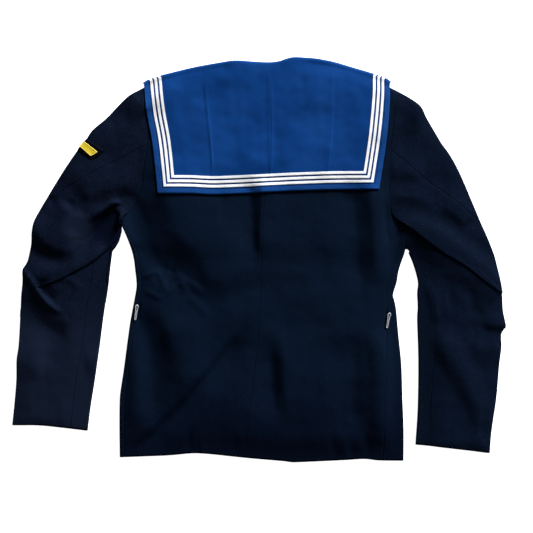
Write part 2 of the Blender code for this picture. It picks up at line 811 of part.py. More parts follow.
class Collar:
    """The square flap, its fold over the shoulders and its ends on the front."""

    def __init__(self, body):
        bottom = Line(COLLAR_BOTTOM)
        self.fold = Line(COLLAR_TOP).inset(COLLAR_EDGE, bottom)
        self.left_turn = self.fold.nearest(SHOULDER_LEFT[-1])[1]
        self.right_turn = self.fold.nearest(SHOULDER_RIGHT[0])[1]
        west = Line(COLLAR_LEFT).fitted(bottom.at(0), self.fold.at(0))
        east = Line(COLLAR_RIGHT).fitted(bottom.at(1), self.fold.at(1))
        self.flap = Patch(bottom, self.fold, west, east)
        ends = []
        for outline, turn, corner, side in (
            (COLLAR_FRONT_LEFT, self.left_turn, 0.0, -1),
            (COLLAR_FRONT_RIGHT, self.right_turn, 1.0, 1),
        ):
            low = Vector(outline[-1])
            high = Vector((low.x, NECK_POINT[1] - 0.5))
            ends.append(Patch(
                self.fold.part(corner, turn), Line((low, high)),
                Line(outline).fitted(self.fold.at(corner), low),
                Line((self.fold.at(turn), high)),
            ))
        self.end_left, self.end_right = ends
        neck = [body.neck.at(v) + Vector((0, GAP)) for v in shares(NECK_COLUMNS)]
        west = Line((self.fold.at(self.left_turn), neck[0] + Vector((0.6, 0))))
        east = Line((self.fold.at(self.right_turn), neck[-1] - Vector((0.6, 0))))
        self.stand = Patch(
            self.fold.part(self.left_turn, self.right_turn),
            Line(neck, smooth=False), west, east,
        )

    def under_height(self, place):
        """Height of the outside below the fold: low at the ends, high at the neck."""
        run = self.right_turn - self.left_turn
        share = (place - self.left_turn) / run
        rise = LAYERS + FRONT_LIFT - CLOTH - COLLAR_UNDER
        return COLLAR_UNDER + rise * smoothstep(min(share, 1 - share) / 0.22)

    def flap_spot(self, u, v, lift=0.0, wall=COLLAR_CLOTH):
        """A spot on the flap."""
        point = self.flap.at(u, v)
        low = upper(point) + GAP + lift
        outside = Vector((point.x, point.y, low + wall))
        return Spot(u, outside, Vector((point.x, point.y, low)))

    def fold_spot(self, place, angle, lift=0.0, wall=COLLAR_CLOTH):
        """A spot on the rounded fold."""
        point = self.fold.at(place)
        outward = -self.fold.normal(place, Vector(NECK_POINT))
        grow = lift + wall - COLLAR_CLOTH
        high = upper(point) + GAP + COLLAR_CLOTH + grow
        return round_spot(
            place, point, outward, angle, COLLAR_EDGE + grow,
            self.under_height(place) - grow, high, wall,
        )

    def end_spot(self, patch, place, u, v, lift=0.0, wall=COLLAR_CLOTH):
        """A spot on an end that lies under the front."""
        point = patch.at(u, v)
        high = COLLAR_UNDER + COLLAR_CLOTH - lift
        outside = Vector((point.x, point.y, high - wall))
        return Spot(place, outside, Vector((point.x, point.y, high)))

    def build(self):
        """Makes the collar as one solid."""
        shell = Shell()
        turns = (self.left_turn, self.right_turn)
        places = [
            *shares(5, 0, turns[0]), *shares(6, *turns)[1:], *shares(5, turns[1], 1)[1:],
        ]
        rows = [[self.flap_spot(u, v) for u in places] for v in shares(6)]
        for angle in shares(4, math.pi / 2, -math.pi / 2)[1:]:
            rows.append([self.fold_spot(place, angle) for place in places])
        shell.add_rows(rows)
        for patch, low, high in (
            (self.end_left, 0.0, turns[0]), (self.end_right, 1.0, turns[1]),
        ):
            inside = (min(low, high) - 1e-6, max(low, high) + 1e-6)
            under_rows = [[s for s in rows[-1] if inside[0] < s.place < inside[1]]]
            for v in shares(8)[1:]:
                under_rows.append([
                    self.end_spot(patch, s.place, (s.place - low) / (high - low), v)
                    for s in under_rows[0]
                ])
            shell.add_rows(under_rows)
        neck = [s for s in rows[-1] if turns[0] - 1e-6 < s.place < turns[1] + 1e-6]
        under_rows = [neck]
        for v in shares(2)[1:]:
            row = []
            for spot in neck:
                share = (spot.place - turns[0]) / (turns[1] - turns[0])
                point = self.stand.at(share, v)
                height = self.under_height(spot.place)
                outside = Vector((point.x, point.y, height))
                inside = outside + Vector((0, 0, COLLAR_CLOTH))
                row.append(Spot(spot.place, outside, inside))
            under_rows.append(row)
        shell.add_rows(under_rows)
        return shell.build("collar", BLUE, 0.8)

    def tape_row(self, make, distance):
        """Both edges of a tape at one station."""
        row = []
        for index, reach in enumerate((distance, distance + TAPE_WIDTH)):
            spot = make(reach)
            row.append(Spot(index, spot.outside, spot.inside))
        return row

    def build_tape(self, name, distance):
        """Makes a tape that runs from one end, round the flap, to the other end."""
        lift, wall = COLLAR_CLOTH + GAP, TAPE_CLOTH
        height = self.flap.west.length
        rows = []

        def end_row(patch, v):
            width = (patch.east.at(v) - patch.west.at(v)).length
            return self.tape_row(
                lambda reach: self.end_spot(patch, 0, reach / width, v, lift, wall),
                distance,
            )

        def fold_row(angle, is_left):
            def make(reach):
                place = reach / self.fold.length
                place = place if is_left else 1 - place
                return self.fold_spot(place, angle, lift, wall)
            return self.tape_row(make, distance)

        def leg_row(share, is_left):
            def make(reach):
                v = 1 + (reach / height - 1) * share
                width = (self.flap.east.at(v) - self.flap.west.at(v)).length
                u = reach / width
                return self.flap_spot(u if is_left else 1 - u, v, lift, wall)
            return self.tape_row(make, distance)

        def bottom_row(share):
            def make(reach):
                v = reach / height
                width = (self.flap.east.at(v) - self.flap.west.at(v)).length
                u = reach / width
                return self.flap_spot(u + (1 - 2 * u) * share, v, lift, wall)
            return self.tape_row(make, distance)

        angles = shares(4, -math.pi / 2, math.pi / 2)
        rows += [end_row(self.end_left, v) for v in reversed(shares(8)[1:])]
        rows += [fold_row(angle, True) for angle in angles]
        rows += [leg_row(share, True) for share in shares(5)[1:]]
        rows += [bottom_row(share) for share in shares(8)[1:-1]]
        rows += [leg_row(share, False) for share in reversed(shares(5)[1:])]
        rows += [fold_row(angle, False) for angle in reversed(angles)]
        rows += [end_row(self.end_right, v) for v in shares(8)[1:]]
        shell = Shell()
        shell.add_rows(rows)
        return shell.build(name, WHITE, 0.7)


def build_hook(name, x, y, turn):
    """A flat loop of wire that lies along a side seam."""
    radius = HOOK_WIRE / 2
    half_width = HOOK_WIDTH / 2 - radius
    half_run = HOOK_LENGTH / 2 - radius - half_width
    curve = bpy.data.curves.new(name, "CURVE")
    curve.dimensions = "3D"
    curve.bevel_depth = radius * METRE
    curve.bevel_resolution = 2
    steps = 6
    points = []
    for end in (1, -1):
        for step in range(steps + 1):
            angle = math.pi * step / steps + (0 if end > 0 else math.pi)
            points.append((
                half_width * math.cos(angle), end * half_run + half_width * math.sin(angle)
            ))
    place = Vector((x, y))
    height = upper(place) + GAP + radius
    spline = curve.splines.new("POLY")
    spline.points.add(len(points) - 1)
    for point, (across, along) in zip(spline.points, points):
        point.co = (across * METRE, along * METRE, 0, 1)
    spline.use_cyclic_u = True
    curve.materials.append(material(name, STEEL, 0.35, 1.0))
    hook = bpy.data.objects.new(name, curve)
    hook.location = (x * METRE, y * METRE, height * METRE)
    hook.rotation_euler.z = math.radians(turn)
    bpy.context.scene.collection.objects.link(hook)
    return hook


def clear_scene():
    """Removes every object of the open scene."""
    for existing in list(bpy.data.objects):
        bpy.data.objects.remove(existing, do_unlink=True)


def main():
    """Builds the jumper."""
    clear_scene()
    body = Body()
    body.back_panel("back_left", True)
    body.back_panel("back_right", False)
    body.front_panel()
    left = Sleeve(
        body.armhole(True), OUTER_LEFT, INNER_LEFT, LIP_LEFT, CUFF_LEFT,
        HIND_SEAM_LEFT, FORE_SEAM_LEFT,
    )
    left.build("left")
    right = Sleeve(
        body.armhole(False), OUTER_RIGHT, INNER_RIGHT, LIP_RIGHT, CUFF_RIGHT,
        HIND_SEAM_RIGHT, FORE_SEAM_RIGHT,
    )
    right.build("right")
    build_chevron(left, "badge_patch", BADGE_MARGIN, GAP, BADGE_CLOTH, NAVY, 0.9)
    lift = GAP + BADGE_CLOTH + 1.5 * GAP
    build_chevron(left, "chevron", 0.0, lift, CHEVRON_CLOTH, YELLOW, 0.6)
    collar = Collar(body)
    collar.build()
    for index, name in enumerate(("tape_outer", "tape_middle", "tape_inner")):
        collar.build_tape(name, TAPE_MARGIN + index * TAPE_PITCH)
    for hook in HOOKS:
        build_hook(*hook)


if __name__ == "__main__":
    main()
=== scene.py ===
"""Dresses the laid-out sailor jumper: body, sleeves, collar, tapes, badge and hooks.

Sizes are in millimetres and become metres when a mesh is made. +X points to the
wearer's right, +Y to the neck and +Z up, with the table at Z = 0. A cloth tube is read
by its place: 0 to 1 over the upper layer, 1 to 2 round the east edge, 2 to 3 back along
the under layer and 3 to 4 round the west edge.
"""

import logging
import math
from collections.abc import Callable, Sequence
from dataclasses import dataclass
from enum import Enum
from functools import partial
from typing import ClassVar

import bmesh
import bpy
import numpy as np
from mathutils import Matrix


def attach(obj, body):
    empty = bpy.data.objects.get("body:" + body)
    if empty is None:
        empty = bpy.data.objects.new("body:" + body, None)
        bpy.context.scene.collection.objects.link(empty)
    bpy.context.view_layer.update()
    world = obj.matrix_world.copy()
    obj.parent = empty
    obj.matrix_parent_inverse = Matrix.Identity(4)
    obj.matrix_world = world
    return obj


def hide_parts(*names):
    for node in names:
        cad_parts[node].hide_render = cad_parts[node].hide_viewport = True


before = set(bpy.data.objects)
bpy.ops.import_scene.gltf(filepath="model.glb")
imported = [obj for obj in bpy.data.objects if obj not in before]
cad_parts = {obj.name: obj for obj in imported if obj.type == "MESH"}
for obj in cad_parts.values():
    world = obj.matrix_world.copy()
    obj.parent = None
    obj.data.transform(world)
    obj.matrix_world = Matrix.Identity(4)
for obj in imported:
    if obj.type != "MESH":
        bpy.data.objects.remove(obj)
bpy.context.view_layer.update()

log = logging.getLogger("jumper")
MM = 0.001
Table = Sequence[tuple[float, ...]]
Triple = tuple[float, float, float]
Array = np.ndarray
Numbers = Array | float
Height = Callable[[Array], Array]
Piece = bpy.types.Object
Material = bpy.types.Material
Socket = bpy.types.NodeSocket

# Thicknesses and heights that follow the solids
GAP = 0.3
EDGE_RADIUS = 3.0
LAYERS = 6.0
SLACK = 1.5
COLLAR_CLOTH = 1.2
COLLAR_EDGE = 5.0
COLLAR_UNDER = 0.8
FRONT_LIFT = 2.3
DOWN = (0.0, -1.0)

# Outlines as x, y. The body's run from the hem up.
SIDE_LEFT = (
    (-240, -340), (-240.5, -292), (-240, -241), (-237, -215), (-233, -189), (-226, -137),
    (-222, -108), (-218, -86), (-213.5, -62), (-211, -46), (-211.5, -32), (-213, -20),
    (-216, 4), (-223, 29), (-233, 53), (-237, 62), (-237, 74),
)
SIDE_RIGHT = (
    (250, -346), (250, -292), (248, -241), (246, -180), (241, -129), (237, -86),
    (233.5, -68), (231.5, -62), (233, -54), (238, -38), (241, -20), (246, -3), (251, 12),
    (254, 30), (255, 63),
)
HEM = (
    (-240, -340), (-161, -337), (-120, -333.5), (-92, -334), (-24, -341), (40, -346.5),
    (56, -348.5), (71, -348.5), (148, -345), (184, -343), (209, -345.5), (250, -346),
)
UNDERARM_LINE = ((-237, 74), (-120, 88), (8, 98), (130, 92), (229, 78))
UNDERARM_RIGHT = ((229, 78), (241, 67), (252, 63))
ARMHOLE_LEFT = (
    (-237, 74), (-223, 87), (-211, 109), (-203, 133), (-199, 162), (-194, 191),
    (-190, 224), (-189, 267), (-187, 302),
)
ARMHOLE_RIGHT = (
    (229, 78), (225, 95), (224, 112), (225, 152), (227, 189), (231, 239), (235, 266),
    (242, 289),
)
SHOULDER_LEFT = ((-187, 302), (-117, 323), (-61, 333))
SHOULDER_RIGHT = ((86, 338), (140, 330), (184, 317), (242, 289))
BACK_NECK = ((-61, 330), (-39, 321), (16, 314), (69, 324), (86, 335))
NECK_POINT = (8, 98)
CENTRE_BACK = (
    (-26, -370), (-21, -303), (-14, -242), (-7, -184), (-2, -134), (2, -84), (4, -3),
    (6, 64), (9, 112), (12, 189), (16, 340),
)

# Sleeve outlines from the shoulder or underarm down to the cuff
OUTER_LEFT = (
    (-187, 302), (-219, 285), (-239, 268), (-263, 243), (-286, 223), (-298, 205),
    (-310, 191), (-326, 168), (-346, 138), (-363, 110), (-379, 83), (-387, 65),
    (-390.5, 47), (-393, 26), (-398, 0), (-404, -11), (-407, -17), (-407.5, -40),
    (-410, -64), (-412, -100), (-414, -148), (-417, -172), (-418, -208), (-421, -245),
    (-425, -284),
)
INNER_LEFT = (
    (-237, 74), (-235.5, 56), (-242, 45), (-248.3, 34), (-251.5, 22), (-253, 9),
    (-256, -15), (-260, -51), (-267, -93), (-277, -170), (-284, -216), (-290, -254),
    (-295, -294),
)
LIP_LEFT = (
    (-240, 74), (-240, 56), (-252, 33), (-268, 17), (-292, -1), (-316, -14), (-340, -27),
    (-359, -35), (-380, -40), (-408, -36),
)
CUFF_LEFT = ((-425, -284), (-381, -284), (-340, -288), (-310, -292), (-295, -294))
OUTER_RIGHT = (
    (242, 289), (262, 277), (279, 263), (288, 246), (301, 224), (314, 202), (327, 184),
    (341, 160), (354, 132), (367, 101), (380, 70), (394, 38), (405, 10), (411, -14),
    (415, -33), (419, -55), (420.5, -86), (425.5, -113), (423, -118), (417.5, -129),
    (418, -149), (415, -173), (412, -206), (409, -240), (404, -272), (400, -303),
    (398, -332),
)
INNER_RIGHT = (
    (251, 60), (251.5, 22), (257.5, 13), (265, -4), (271, -23), (274.5, -40),
    (273, -57), (274, -82), (273, -103), (275, -172), (274, -254), (270, -318),
)
LIP_RIGHT = (
    (259, 61), (275, 51), (297, 35), (323, 17), (349, 2), (375, -17), (397, -35),
    (420, -52),
)
CUFF_RIGHT = ((398, -332), (374, -329), (348, -326), (295, -320), (270, -318))

# Collar outlines
COLLAR_TOP = (
    (-200, 305), (-190, 311), (-168, 318), (-116, 331), (-79, 338), (-44, 343), (-8, 341),
    (18, 340), (35, 342), (50, 347), (62, 349), (80, 348.5), (99, 347), (130, 341),
    (164, 331), (198, 321), (216, 315), (228, 307),
)
COLLAR_LEFT = ((-173, 116), (-183, 199), (-193, 251), (-200, 305))
COLLAR_RIGHT = ((206, 123), (216, 181), (222, 224), (227, 275), (228, 307))
COLLAR_BOTTOM = (
    (-173, 114.5), (-166, 113.5), (-116, 113.5), (-76, 112), (-24, 114), (16, 116),
    (69, 118.5), (130, 120.5), (206, 121),
)
COLLAR_FRONT_LEFT = ((-200, 305), (-176, 246), (-110, 158), (7.7, 62))
COLLAR_FRONT_RIGHT = ((228, 307), (206, 246), (130, 158), (8.3, 62))

# Width of a tape, and how far the outer edge of each is from the collar's
TAPE_WIDTH = 4.6
TAPE_MARGINS = {"tape_outer": 11.9, "tape_middle": 19.4, "tape_inner": 26.9}

# Seams as share of the way along the tube, place round it
SIDE_SEAM_LEFT = (
    (0.0, 0.011), (0.12, 0.011), (0.25, 0.011), (0.35, 0.012), (0.5, 0.011),
    (0.6, 0.013), (0.7, 0.013), (0.85, 0.011), (0.95, 0.006), (1.0, 0.0),
)
SIDE_SEAM_RIGHT = (
    (0.0, 0.932), (0.22, 0.938), (0.4, 0.947), (0.54, 0.959), (0.67, 0.975), (1.0, 0.98),
)
# Sleeve seams where they show: over the upper arm to the outer edge, down the forearm
HIND_LINE_LEFT = (
    (-186, 200), (-204, 192), (-236, 175), (-274, 156), (-312, 135), (-350, 110),
    (-377, 88), (-394, 70),
)
FORE_LINE_LEFT = (
    (-280, 26), (-284, 3), (-291, -50), (-297, -88), (-304, -145), (-312, -187),
    (-319, -240), (-326, -310),
)
HIND_LINE_RIGHT = (
    (222, 194), (260, 162), (290, 136), (331, 107), (372, 72), (392, 46), (400, 32),
)
FORE_LINE_RIGHT = (
    (262, 40), (270, 11), (284, -26), (297, -56), (301, -80), (302, -115), (301.5, -156),
    (296, -238), (292, -315), (291, -340),
)
# Hidden stretches as share along, place
HIND_BELOW = ((1.0, -0.9), (1.2, -1.03), (2.0, -1.03))
FORE_ABOVE = ((0.0, 2.0), (1.0, 1.6), (1.4, 1.5))
ROLLED_UNDER = 0.9

# The roll of the sleeve over its forearm: share through the fold, run past the lip as
# a share of its overhang, and height as a share of the step.
ROLL_PROFILE = (
    (0.0, 0.0, 1.0), (0.1, 0.5, 0.95), (0.2, 0.85, 0.78), (0.3, 1.0, 0.52),
    (0.4, 0.8, 0.25), (0.5, 0.2, 0.1), (0.62, -1.2, 0.07), (0.7, -1.8, 0.04),
    (0.78, -1.2, 0.0), (0.88, 0.2, 0.0), (1.0, 2.6, 0.0),
)
# Height of the lip along it, from the outer edge to the underarm
LIP_RISE_LEFT = ((0.0, 0.0), (0.14, 1.0), (0.3, 3.0), (0.6, 4.5), (0.85, 3.0), (1.0, 2.0))
LIP_RISE_RIGHT = ((0.0, 1.5), (0.2, 3.0), (0.5, 5.0), (0.8, 7.0), (1.0, 6.5))


class Crest(Enum):
    """How the top of a fold is shaped."""

    ROUND = 1
    SHARP = 2


@dataclass(frozen=True)
class Fold:
    """A ridge or, with a negative rise, a trough of cloth along a line."""

    line: Table
    rise: float
    left: float
    right: float
    crest: Crest = Crest.ROUND
    fade: float = 0.25
    tail: float = 0.0

    def height(self, points: Array) -> Array:
        """Finds what the fold adds to the cloth.

        Args:
            points: Places in plan, one a row.

        Returns:
            The height at each place.
        """
        path = Line(self.line)
        added = np.zeros(len(points))
        reach = max(self.left, self.right)
        low, high = path.points.min(0) - reach, path.points.max(0) + reach
        close = ((points > low) & (points < high)).all(1)
        if close.any():
            distance, share, side = path.nearest(points[close])
            away = np.clip(distance / np.where(side > 0, self.left, self.right), 0, 1)
            tail = self.tail or self.fade
            ends = smoothstep(share / self.fade) * smoothstep((1 - share) / tail)
            is_sharp = self.crest is Crest.SHARP
            shape = (1 - away) ** 2 if is_sharp else 1 - smoothstep(away)
            added[close] = self.rise * ends * shape
        return added


SHARP = Crest.SHARP
BODY_FOLDS = (
    # From the left armhole down to the waist: a ridge and the slope below it
    Fold(((-180, 150), (-154, 112), (-130, 78), (-92, 28), (-62, -20), (-40, -66)), 7.6,
         80, 64, fade=0.18),
    Fold(((-224, 190), (-216, 100), (-200, 38), (-170, -2), (-140, -36), (-116, -72)), -6.2,
         66, 34, fade=0.3),
    Fold(((-247, 92), (-242, 78), (-237, 62), (-228, 44), (-216, 12)), 5.0, 44, 4),
    # Crumples at the left of the waist
    Fold(((-206, -34), (-190, -26), (-176, -22), (-164, -40), (-158, -62)), 1.8, 8, 6),
    Fold(((-180, -62), (-168, -50), (-158, -24), (-150, 6)), 1.6, 7, 6),
    Fold(((-158, -64), (-146, -48), (-134, -40), (-122, -58)), 1.9, 6, 7),
    Fold(((-146, -20), (-130, -34), (-112, -42), (-92, -62)), 1.6, 8, 12),
    Fold(((-200, -52), (-184, -58), (-164, -70)), 1.5, 7, 6),
    Fold(((-128, -64), (-110, -72), (-84, -100)), 1.3, 12, 10),
    Fold(((-176, -10), (-160, -14), (-140, -26)), -1.4, 7, 7),
    # Left hip: a bump at the side, a hollow and the rise beyond it
    Fold(((-224, -104), (-220, -165), (-216, -232), (-224, -300)), 2.4, 30, 14),
    Fold(((-196, -78), (-188, -140), (-182, -200), (-184, -292)), -7.0, 36, 30),
    Fold(((-150, -84), (-134, -150), (-124, -200), (-124, -258)), 6.4, 66, 38, tail=0.4),
    Fold(((-10, -102), (-60, -170), (-98, -214), (-138, -260), (-216, -338)), -7.8, 36,
         17, tail=0.2),
    # Beside the hooks
    Fold(((-205.3, -74), (-208.8, -107)), -2.4, 3.2, 6, fade=0.12),
    Fold(((221.6, -88), (217.2, -121)), -2.4, 3.2, 6, fade=0.12),
    # Below the waist at the right
    Fold(((18, -118), (22, -190), (24, -286)), -5.0, 16, 44, fade=0.35),
    Fold(((44, -122), (46, -200), (50, -290)), 3.6, 56, 15, fade=0.35),
    Fold(((166, -118), (162, -200), (166, -320)), -4.8, 24, 56, fade=0.3),
    Fold(((208, -108), (209, -200), (208, -326)), 7.0, 30, 28),
    # Down from the right of the collar
    Fold(((162, 150), (164, 70), (170, 0), (180, -60)), -4.6, 20, 50),
    Fold(((193, 150), (197, 80), (202, 20), (208, -46)), 5.6, 32, 20),
    Fold(((216, 112), (218, 64), (224, 20)), -1.8, 8, 8),
    # Beside the centre seam below the collar
    Fold(((-16, 150), (-12, 78), (-8, 0)), -3.6, 12, 40),
    Fold(((8, 150), (6, 78), (4, 0)), 4.2, 56, 13),
    # Toward the hem, with its ripples
    Fold(((-262, -356), (262, -358)), -3.4, 110, 110, SHARP, 0.02),
    Fold(((-118, -276), (-121, -356)), -1.4, 9, 12, fade=0.6),
    Fold(((-98, -290), (-97, -356)), 1.4, 12, 9, fade=0.6),
    Fold(((-40, -290), (-46, -356)), -1.0, 10, 12, fade=0.6),
    Fold(((124, -282), (133, -356)), -1.5, 9, 12, fade=0.6),
    Fold(((143, -292), (151, -356)), 1.4, 9, 8, fade=0.6),
    Fold(((157, -300), (166, -356)), -1.2, 8, 8, fade=0.6),
    Fold(((182, -286), (193, -356)), -1.6, 12, 9, fade=0.6),
)
SLEEVE_FOLDS = (
    # Left upper arm: a slope over the underarm, the roll, its bump and their hollows
    Fold(((-200, 134), (-226, 134), (-262, 129), (-296, 117), (-314, 104)), 6.0, 28, 50),
    Fold(((-238, 98), (-251, 95), (-266, 82), (-282, 70), (-291, 58)), 4.4, 4, 24,
         fade=0.2, tail=0.5),
    Fold(((-232, 98), (-251, 97), (-266, 86), (-282, 74), (-292, 62)), 4.6, 6, 8,
         fade=0.2, tail=0.4),
    Fold(((-250, 92), (-258, 78), (-273, 58), (-291, 34), (-306, 6), (-316, -16)), -8.0,
         22, 14, fade=0.2, tail=0.5),
    Fold(((-248, 91), (-246, 76), (-249, 60), (-262, 36), (-278, 8)), -6.5, 10, 20,
         fade=0.18, tail=0.5),
    Fold(((-322, 100), (-336, 72), (-343, 44), (-342, 24)), 6.4, 48, 32),
    Fold(((-358, 112), (-354, 98), (-344, 78)), -2.2, 14, 12, tail=0.6),
    Fold(((-330, 106), (-324, 92), (-314, 70)), -2.0, 12, 10, tail=0.6),
    Fold(((-400, 82), (-384, 54), (-364, 34), (-334, 23), (-302, 20)), 6.4, 42, 28),
    Fold(((-404, 44), (-386, 18), (-360, 2), (-326, -2)), -3.2, 26, 24),
    Fold(((-228, 290), (-208, 270), (-188, 250)), 4.0, 20, 36),
    # Left elbow and forearm
    Fold(((-411, -4), (-400, -22), (-388, -38), (-373, -61), (-354, -80), (-330, -94)),
         4.6, 6, 9),
    Fold(((-412, -56), (-392, -90), (-364, -120), (-322, -144)), -6.4, 32, 74),
    Fold(((-386, -32), (-369, -57), (-348, -76)), -3.8, 22, 5),
    Fold(((-340, -28), (-318, -38), (-306, -56)), 1.6, 14, 12),
    Fold(((-440, -162), (-404, -172), (-364, -180)), 3.0, 62, 38),
    Fold(((-258, -168), (-280, -174), (-306, -178)), 3.2, 34, 36, fade=0.4),
    # Right upper arm
    Fold(((302, 322), (282, 286), (258, 222)), 4.4, 26, 26, fade=0.5),
    Fold(((272, 252), (252, 208), (236, 164)), -3.8, 24, 24, fade=0.5),
    Fold(((222, 146), (252, 150), (286, 142)), 2.0, 40, 18),
    Fold(((312, 96), (336, 84), (362, 58)), 3.2, 40, 18),
    Fold(((392, 60), (404, 26), (412, -16)), 1.6, 8, 20),
    # Right forearm
    Fold(((250, 64), (297, 34), (347, 2), (396, -36), (424, -56)), 5.6, 40, 46, fade=0.1),
    Fold(((322, -22), (326, -58), (344, -88)), -1.5, 16, 20),
    Fold(((362, -44), (368, -78), (382, -102)), -1.5, 14, 16),
    Fold(((440, -112), (416, -112), (396, -110), (376, -104)), 3.2, 12, 26, fade=0.4),
    Fold(((364, -146), (390, -152), (418, -148)), 3.0, 22, 34),
    Fold(((302, -108), (322, -148), (350, -200), (376, -250), (394, -304)), 5.2, 36, 28),
    Fold(((286, -30), (300, -68), (306, -112)), 2.0, 14, 14),
    Fold(((390, -240), (384, -280), (388, -320)), -1.4, 14, 10),
)
COLLAR_FOLDS = (
    Fold(((-94, 312), (-86, 230), (-77, 150)), 0.45, 3.5, 5, SHARP, 0.1),
    Fold(((17, 340), (18, 240), (20, 150), (22, 117)), 0.5, 3.5, 4.5, SHARP, 0.1),
    Fold(((126, 340), (121, 250), (115, 150)), 0.45, 5, 3.5, SHARP, 0.1),
    Fold(((112, 322), (88, 286), (56, 244), (40, 200)), 1.6, 16, 24),
    Fold(((84, 318), (60, 280), (34, 240)), -1.0, 14, 14),
    Fold(((-60, 330), (-52, 290), (-62, 240)), 0.9, 18, 22),
    Fold(((-120, 316), (-130, 270), (-124, 220)), -0.7, 20, 18),
    Fold(((150, 316), (168, 260), (160, 190)), 0.8, 20, 22),
    Fold(((-40, 180), (10, 168), (70, 178)), 0.7, 18, 18),
    Fold(((-150, 300), (-110, 306), (-70, 318)), -0.8, 12, 12),
)


def smoothstep(share: Numbers) -> Array:
    """Eases a share of 0 to 1 at both ends."""
    share = np.clip(share, 0.0, 1.0)
    return share * share * (3 - 2 * share)


def fading(distance: Array, reach: float, start: float = 0.0) -> Array:
    """A share that eases from 1 at a start to 0 over a reach."""
    return 1 - smoothstep((distance - start) / reach)


def heaped(folds: Sequence[Fold], points: Array) -> Array:
    """The sum of some folds at places in plan."""
    return sum((fold.height(points) for fold in folds), np.zeros(len(points)))


def read(table: Table, key: Numbers, column: int = 1) -> Array:
    """Reads a column of a table at a key, between its rows."""
    rows = np.array(table, float)
    return np.interp(key, rows[:, 0], rows[:, column])


def mixed(first: Array, last: Array, share: Array) -> Array:
    """Goes from one set of points to another by a share for each."""
    share = np.asarray(share, float).reshape(-1, 1)
    return first + (last - first) * share


def unit(vectors: Array) -> Array:
    """Vectors of length one."""
    return vectors / np.maximum(np.linalg.norm(vectors, axis=-1, keepdims=True), 1e-9)


def at_height(plan: Array, height: Numbers) -> Array:
    """Points in space from places in plan and heights."""
    return np.column_stack([plan, np.broadcast_to(height, len(plan))])


def gridded(surface: Callable, u: Array, v: Array) -> Array:
    """Points of a surface at rows and columns of shares."""
    u, v = np.broadcast_arrays(u, v)
    return surface(u.ravel(), v.ravel()).reshape(*u.shape, 3)


def reached(grid: Array, axis: int) -> Array:
    """How far along its column, axis 0, or its row, axis 1, each point of a grid is."""
    runs = np.linalg.norm(np.diff(grid, axis=axis), axis=2).cumsum(axis)
    return np.insert(runs, 0, 0.0, axis=axis)


